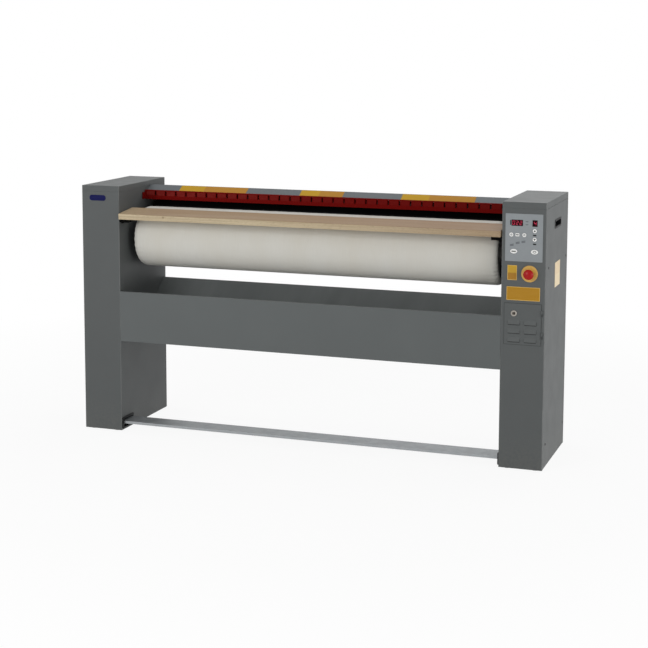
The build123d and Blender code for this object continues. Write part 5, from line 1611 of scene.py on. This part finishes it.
@dataclass
class ControlFront:
    """Control plate with displays and keys, emergency stop, door and lock."""

    plate_rise: float = 0.0015
    key_rise: float = 0.0023
    round_keys: dict[str, tuple[float, float]] = field(default_factory=lambda: {
        "menu_key": (0.863, 0.9328), "enter_key": (0.914, 0.9328),
        "speed_up_key": (0.9545, 0.9498), "speed_down_key": (0.9545, 0.9167)})
    select_key: tuple[float, float] = (0.8868, 0.9328)
    oval_keys: dict[str, tuple[float, float]] = field(default_factory=lambda: {
        "start_key": (0.8735, 0.868), "stop_key": (0.955, 0.868)})
    # a digit's size, the width of its lit bars, the gap at their tips, and its lean per unit of height
    digit_size: tuple[float, float] = (0.0088, 0.0152)
    digit_line: float = 0.0010
    digit_gap: float = 0.00035
    slant: float = 0.08
    digits_height: float = 0.9795
    digits: tuple[tuple[float, Digit], ...] = ((0.8715, Digit.ZERO), (0.8855, Digit.TWO), (0.8995, Digit.TWO),
                                               (0.9555, Digit.FOUR))
    digit_rise: float = 0.0002
    # printed bars, with the radius of their corners
    dark_bars: tuple[tuple[Spot, float], ...] = (
        ((0.8596, 0.9800, 0.0040, 0.0190), 0.0008), ((0.9545, 0.9328, 0.0130, 0.0056), 0.0015),
        ((0.9545, 0.8986, 0.0130, 0.0056), 0.0015))
    grey_bars: tuple[tuple[Spot, float], ...] = (
        ((0.9235, 0.9855, 0.0105, 0.0034), 0.0010), ((0.9235, 0.9735, 0.0105, 0.0034), 0.0010))
    # three pairs of strokes that slant up to the right
    strokes: tuple[tuple[float, float], ...] = ((0.8655, 0.8925), (0.8885, 0.9015), (0.9110, 0.9065))
    stroke_gap: float = 0.0044
    stroke: tuple[tuple[float, float], ...] = (
        (-0.0074, -0.0032), (0.0074, -0.0004), (0.0074, 0.0032), (-0.0074, 0.0004))
    # printed rings: outer sizes round the round keys, their inner size, and the oval keys' ring
    round_rings: tuple[float, ...] = (0.0180, 0.0180, 0.0188, 0.0188)
    round_inner: float = 0.0164
    oval_ring: tuple[tuple[float, float], tuple[float, float]] = ((0.0302, 0.0202), (0.0284, 0.0184))
    # half width, foot and tip of the triangles on the speed keys
    arrow: tuple[float, float, float] = (0.0046, 0.0032, 0.0046)

    def _bar(self, start: Vector, end: Vector) -> Flat:
        """Six-sided outline of one segment, anticlockwise.

        Args:
            start: its first tip.
            end: its second tip.

        Returns:
            The outline's points.
        """
        run = (end - start).normalized()
        a, b = start + run * self.digit_gap, end - run * self.digit_gap
        side = Vector((-run.y, run.x)) * self.digit_line / 2
        tip = run * self.digit_line / 2
        corners = [a, a + tip - side, b - tip - side, b, b - tip + side, a + tip + side]
        return [(c.x, c.y) for c in corners]

    def build_digits(self) -> Piece:
        """Sets the lit figures just proud of their windows.

        Returns:
            The figures.
        """
        shapes = SlabMesh("display_digits", FACE_FRONT)
        wide, high = ((size - self.digit_line) / 2 for size in self.digit_size)
        lean = self.slant * self.digit_size[1] / 2
        for u, digit in self.digits:
            for name in digit.value:
                tips = [Vector((u + sx * wide + sy * lean, self.digits_height + sy * high))
                        for sx, sy in SEGMENTS[name]]
                shapes.slab(self._bar(*tips), self.plate_rise, self.plate_rise + self.digit_rise)
        return shapes.finish(LIT, "stand", "display_black")

    def build_marks(self) -> list[Piece]:
        """Prints the plain generic marks round the keys.

        Returns:
            The dark marks and the grey ones.
        """
        low, high = self.plate_rise, self.plate_rise + PRINT_RISE
        dark = SlabMesh("panel_marks", FACE_FRONT)
        grey = SlabMesh("panel_grey_marks", FACE_FRONT)
        for mesh, bars in ((dark, self.dark_bars), (grey, self.grey_bars)):
            for spot, corner in bars:
                mesh.slab(rounded_outline(*spot, corner), low, high)
        for u, v in self.strokes:
            for lift in (-self.stroke_gap / 2, self.stroke_gap / 2):
                grey.slab([(u + across, v + lift + up) for across, up in self.stroke], low, high)
        bands = [(spot, (size, size), (self.round_inner, self.round_inner))
                 for spot, size in zip(self.round_keys.values(), self.round_rings)]
        bands += [(spot, *self.oval_ring) for spot in self.oval_keys.values()]
        for spot, outer, inner in bands:
            grey.ring(oval_outline(*spot, *outer), oval_outline(*spot, *inner), low, high)
        return [dark.finish(INK_DARK, "stand", "display_black"),
                grey.finish(INK_GREY, "stand", "panel_silver")]

    def build_key_marks(self) -> list[Piece]:
        """Prints a generic mark on each key, riding on that key.

        Returns:
            The marks.
        """
        low, high = self.key_rise, self.key_rise + PRINT_RISE
        keys = {**self.round_keys, "select_key": self.select_key, **self.oval_keys}
        marks = {name: SlabMesh(name + "_mark", FACE_FRONT) for name in (
            "speed_up_key", "speed_down_key", "menu_key", "enter_key", "select_key", "start_key", "stop_key")}
        for name, turned in (("speed_up_key", 1), ("speed_down_key", -1)):
            u, v = keys[name]
            half, foot, tip = (size * turned for size in self.arrow)
            marks[name].slab([(u - half, v - foot), (u + half, v - foot), (u, v + tip)], low, high)
        for name, outer, inner in (("menu_key", (0.0076, 0.0076), (0.0040, 0.0040)),
                                   ("enter_key", (0.0076, 0.0076), (0.0040, 0.0040)),
                                   ("stop_key", (0.0140, 0.0090), (0.0100, 0.0050))):
            marks[name].ring(oval_outline(*keys[name], *outer, 24), oval_outline(*keys[name], *inner, 24),
                             low, high)
        for name, size in (("select_key", (0.0105, 0.0034)), ("start_key", (0.0170, 0.0038))):
            marks[name].slab(rounded_outline(*keys[name], *size, 0.0008), low, high)
        return [mark.finish(INK_GREY, name, "panel_silver") if name in ("menu_key", "enter_key")
                else mark.finish(INK_DARK, name, "display_black") for name, mark in marks.items()]

    def build(self) -> list[Piece]:
        """Dresses the front's nodes and prints its marks.

        Returns:
            The new pieces.
        """
        dress(PANEL, "control_plate")
        dress(WINDOW, "display_windows")
        dress(CIRCUIT, "control_board")
        dress(KEY_PLASTIC, *self.round_keys, "select_key", *self.oval_keys)
        dress(STOP_YELLOW, "estop_ring")
        dress(BLACK_PLASTIC, "estop_stem")
        dress(STOP_RED, "estop_head")
        dress(LOCK_ZINC, "door_lock")
        return [self.build_digits(), *self.build_marks(), *self.build_key_marks()]


@dataclass
class FootPedal:
    """Aluminium foot bar with its arms, wound return springs and slot guides."""

    # X and Y of the right spring, the heights of its two pegs, and where its winding starts and ends
    spring: tuple[float, float] = (0.857, -0.07)
    pegs: tuple[float, float] = (0.040, 0.190)
    winding: tuple[float, float] = (0.056, 0.174)
    turns: int = 24
    turn_steps: int = 20
    radius: float = 0.0068
    # each end's eye: its radius, where it starts and how far it goes round in degrees, its steps
    eye: float = 0.0054
    eye_turns: tuple[float, float] = (-230.0, 280.0)
    eye_steps: int = 20
    wire: float = 0.0012
    # how far inside its pegs a spring's stiff end reaches
    stiff_end: float = 0.008

    def _spine(self, x: float) -> list[Point]:
        """Centre line of one spring: lower eye, winding, upper eye.

        Args:
            x: where the spring hangs.

        Returns:
            The points in order.
        """
        y, (low, high), (start, end) = self.spring[1], self.pegs, self.winding
        first, sweep = self.eye_turns
        opened = [math.radians(first + sweep * i / self.eye_steps) for i in range(self.eye_steps + 1)]
        lower = [(x, y + self.eye * math.cos(a), low + self.eye * math.sin(a)) for a in opened]
        upper = [(x, y + self.eye * math.cos(a), high - self.eye * math.sin(a)) for a in reversed(opened)]
        steps = self.turns * self.turn_steps
        wound = []
        for i in range(steps + 1):
            turn = 2 * math.pi * i / self.turn_steps
            wound.append((x + self.radius * math.sin(turn), y + self.radius * math.cos(turn),
                          start + (end - start) * i / steps))
        return lower + wound + upper

    def build_spring(self, name: str, x: float) -> Piece:
        """Winds one spring between its two pegs.

        Args:
            name: the piece's name.
            x: where the spring hangs.

        Returns:
            The spring.
        """
        points = self._spine(x)
        curve = bpy.data.curves.new(name, "CURVE")
        curve.dimensions = "3D"
        curve.bevel_depth = self.wire
        curve.bevel_resolution = 2
        curve.use_fill_caps = True
        line = curve.splines.new("POLY")
        line.points.add(len(points) - 1)
        line.points.foreach_set("co", [value for point in points for value in (*point, 1.0)])
        holder = bpy.data.objects.new(f"{name}_path", curve)
        mesh = bpy.data.meshes.new_from_object(holder)
        bpy.data.objects.remove(holder)
        bpy.data.curves.remove(curve)
        mesh.name = name
        mesh.materials.clear()
        mesh.materials.append(SPRING_STEEL.make())
        mesh.shade_smooth()
        spring = bpy.data.objects.new(name, mesh)
        bpy.context.scene.collection.objects.link(spring)
        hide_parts("pedal_springs")
        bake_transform(spring)
        return spring

    def build(self) -> list[Piece]:
        """Dresses the pedal's nodes and winds its springs.

        Returns:
            The springs.
        """
        dress(PEDAL_ALUMINIUM, "pedal_bar")
        dress(ZINC, "pedal_arms")
        dress(BLACK_PLASTIC, "pedal_guides")
        return [self.build_spring(f"{name}_pedal_spring", side * self.spring[0])
                for name, side in (("left", -1), ("right", 1))]


@dataclass(frozen=True)
class SoftBox:
    """One large soft lamp that faces a point."""

    name: str
    place: Point
    aim: Point
    size: tuple[float, float]
    watts: float

    def build(self) -> None:
        """Hangs the lamp."""
        lamp = bpy.data.lights.new(self.name, "AREA")
        lamp.shape = "RECTANGLE"
        lamp.size, lamp.size_y = self.size
        lamp.energy = self.watts
        holder = bpy.data.objects.new(self.name, lamp)
        holder.location = self.place
        holder.rotation_euler = (Vector(self.aim) - Vector(self.place)).to_track_quat("-Z", "Y").to_euler()
        bpy.context.scene.collection.objects.link(holder)


@dataclass
class Studio:
    """Plain pale floor, soft lamps and the camera at the photograph's place."""

    # the camera's place in metres, its turns in degrees and its lens in millimetres
    eye: Point = (2.1065, -5.980, 1.702)
    yaw: float = -19.26
    pitch: float = 6.98
    roll: float = 0.15
    lens: float = 84.6
    shift_up: float = -0.16
    ambient: float = 0.26
    # the floor's half width, and how white it shows near by and beyond these distances
    floor_half: float = 14.0
    fades: tuple[float, float] = (1.6, 3.2)
    floor_white: float = 0.91
    lamps: tuple[SoftBox, ...] = (
        SoftBox("top_softbox", (0.3, 0.7, 3.5), (0.0, 0.0, 0.6), (3.6, 2.0), 27.0),
        SoftBox("front_softbox", (-1.7, -4.3, 2.1), (0.1, 0.0, 0.55), (3.0, 2.2), 90.0),
        SoftBox("right_softbox", (3.9, -1.5, 0.9), (0.6, -0.1, 0.6), (3.2, 1.8), 47.0),
        SoftBox("left_softbox", (-3.6, 0.2, 1.1), (-1.0, 0.0, 0.6), (1.6, 1.4), 22.0),
        SoftBox("back_softbox", (1.2, 3.4, 4.0), (0.0, 0.2, 0.6), (3.4, 2.0), 45.0))

    def build_camera(self) -> None:
        """Aims the camera."""
        y, p, r = (math.radians(a) for a in (self.yaw, self.pitch, self.roll))
        ahead = Vector((math.sin(y) * math.cos(p), math.cos(y) * math.cos(p), -math.sin(p)))
        right = Vector((math.cos(y), -math.sin(y), 0.0))
        up = right.cross(ahead)
        across = right * math.cos(r) + up * math.sin(r)
        above = up * math.cos(r) - right * math.sin(r)
        data = bpy.data.cameras.new("camera")
        data.sensor_fit = "HORIZONTAL"
        data.sensor_width = 36.0
        data.lens = self.lens
        data.shift_y = self.shift_up
        camera = bpy.data.objects.new("camera", data)
        turned = Matrix((across, above, -ahead)).transposed()
        camera.matrix_world = Matrix.Translation(self.eye) @ turned.to_4x4()
        bpy.context.scene.collection.objects.link(camera)
        bpy.context.scene.camera = camera

    def _seen(self, tree: Tree) -> Socket:
        """1 for camera, glossy and transmission rays.

        Args:
            tree: the tree that asks.

        Returns:
            The value.
        """
        path = add_node(tree, "ShaderNodeLightPath")
        seen = path.outputs["Is Camera Ray"]
        for ray in ("Is Glossy Ray", "Is Transmission Ray"):
            seen = add_node(tree, "ShaderNodeMath", {0: seen, 1: path.outputs[ray]},
                            operation="MAXIMUM").outputs[0]
        return seen

    def build_world(self) -> None:
        """Lights the room evenly and shows it white."""
        world = bpy.data.worlds.new("studio")
        world.use_nodes = True
        tree = world.node_tree
        tree.nodes.clear()
        level = add_node(tree, "ShaderNodeMapRange", {"Value": self._seen(tree), "To Min": self.ambient})
        lit = add_node(tree, "ShaderNodeBackground", {"Color": WHITE, "Strength": level.outputs[0]})
        add_node(tree, "ShaderNodeOutputWorld", {"Surface": lit.outputs[0]})
        bpy.context.scene.world = world

    def _floor_paint(self) -> bpy.types.Material:
        """Pale matt paint that fades to white away from the machine.

        Returns:
            The material.
        """
        material = bpy.data.materials.new("pale_floor_paint")
        material.use_nodes = True
        tree = material.node_tree
        tree.nodes.clear()
        matt = add_node(tree, "ShaderNodeBsdfDiffuse", {"Color": linear("F4F4F4")})
        white = add_node(tree, "ShaderNodeEmission", {"Color": WHITE, "Strength": 1.0})
        place = add_node(tree, "ShaderNodeTexCoord").outputs["Object"]
        away = add_node(tree, "ShaderNodeVectorMath", {0: place}, operation="LENGTH")
        far = add_node(tree, "ShaderNodeMapRange", {
            "Value": away.outputs["Value"], "From Min": self.fades[0], "From Max": self.fades[1],
            "To Min": self.floor_white})
        share = add_node(tree, "ShaderNodeMath", {0: self._seen(tree), 1: far.outputs[0]},
                         operation="MULTIPLY")
        mixed = add_node(tree, "ShaderNodeMixShader", {0: share.outputs[0], 1: matt.outputs[0],
                                                       2: white.outputs[0]})
        add_node(tree, "ShaderNodeOutputMaterial", {"Surface": mixed.outputs[0]})
        return material

    def build_floor(self) -> None:
        """Lays the floor."""
        mesh = bpy.data.meshes.new("floor")
        mesh.from_pydata([(x * self.floor_half, y * self.floor_half, 0.0)
                          for x, y in ((-1, -1), (1, -1), (1, 1), (-1, 1))], [], [(0, 1, 2, 3)])
        mesh.materials.append(self._floor_paint())
        floor = bpy.data.objects.new("floor", mesh)
        bpy.context.scene.collection.objects.link(floor)

    def build(self) -> None:
        """Sets up the view, the lamps and the floor."""
        self.build_camera()
        bpy.context.scene.view_settings.view_transform = "Standard"
        self.build_world()
        self.build_floor()
        for lamp in self.lamps:
            lamp.build()


def main() -> None:
    """Builds the studio, then each sub-assembly in order, and reports each piece."""
    logging.basicConfig(level=logging.INFO, format="%(message)s")
    Studio().build()
    for part in (Stand(Fasteners()), RollerCover(), HeatedBed(), Drive(), FeedBoard(), FingerGuard(),
                 BlankPlates(), ControlFront(), FootPedal()):
        for piece in part.build():
            LOG.info("%s: %s, %d faces", type(part).__name__, piece.name, len(piece.data.polygons))


if __name__ == "__main__":
    main()
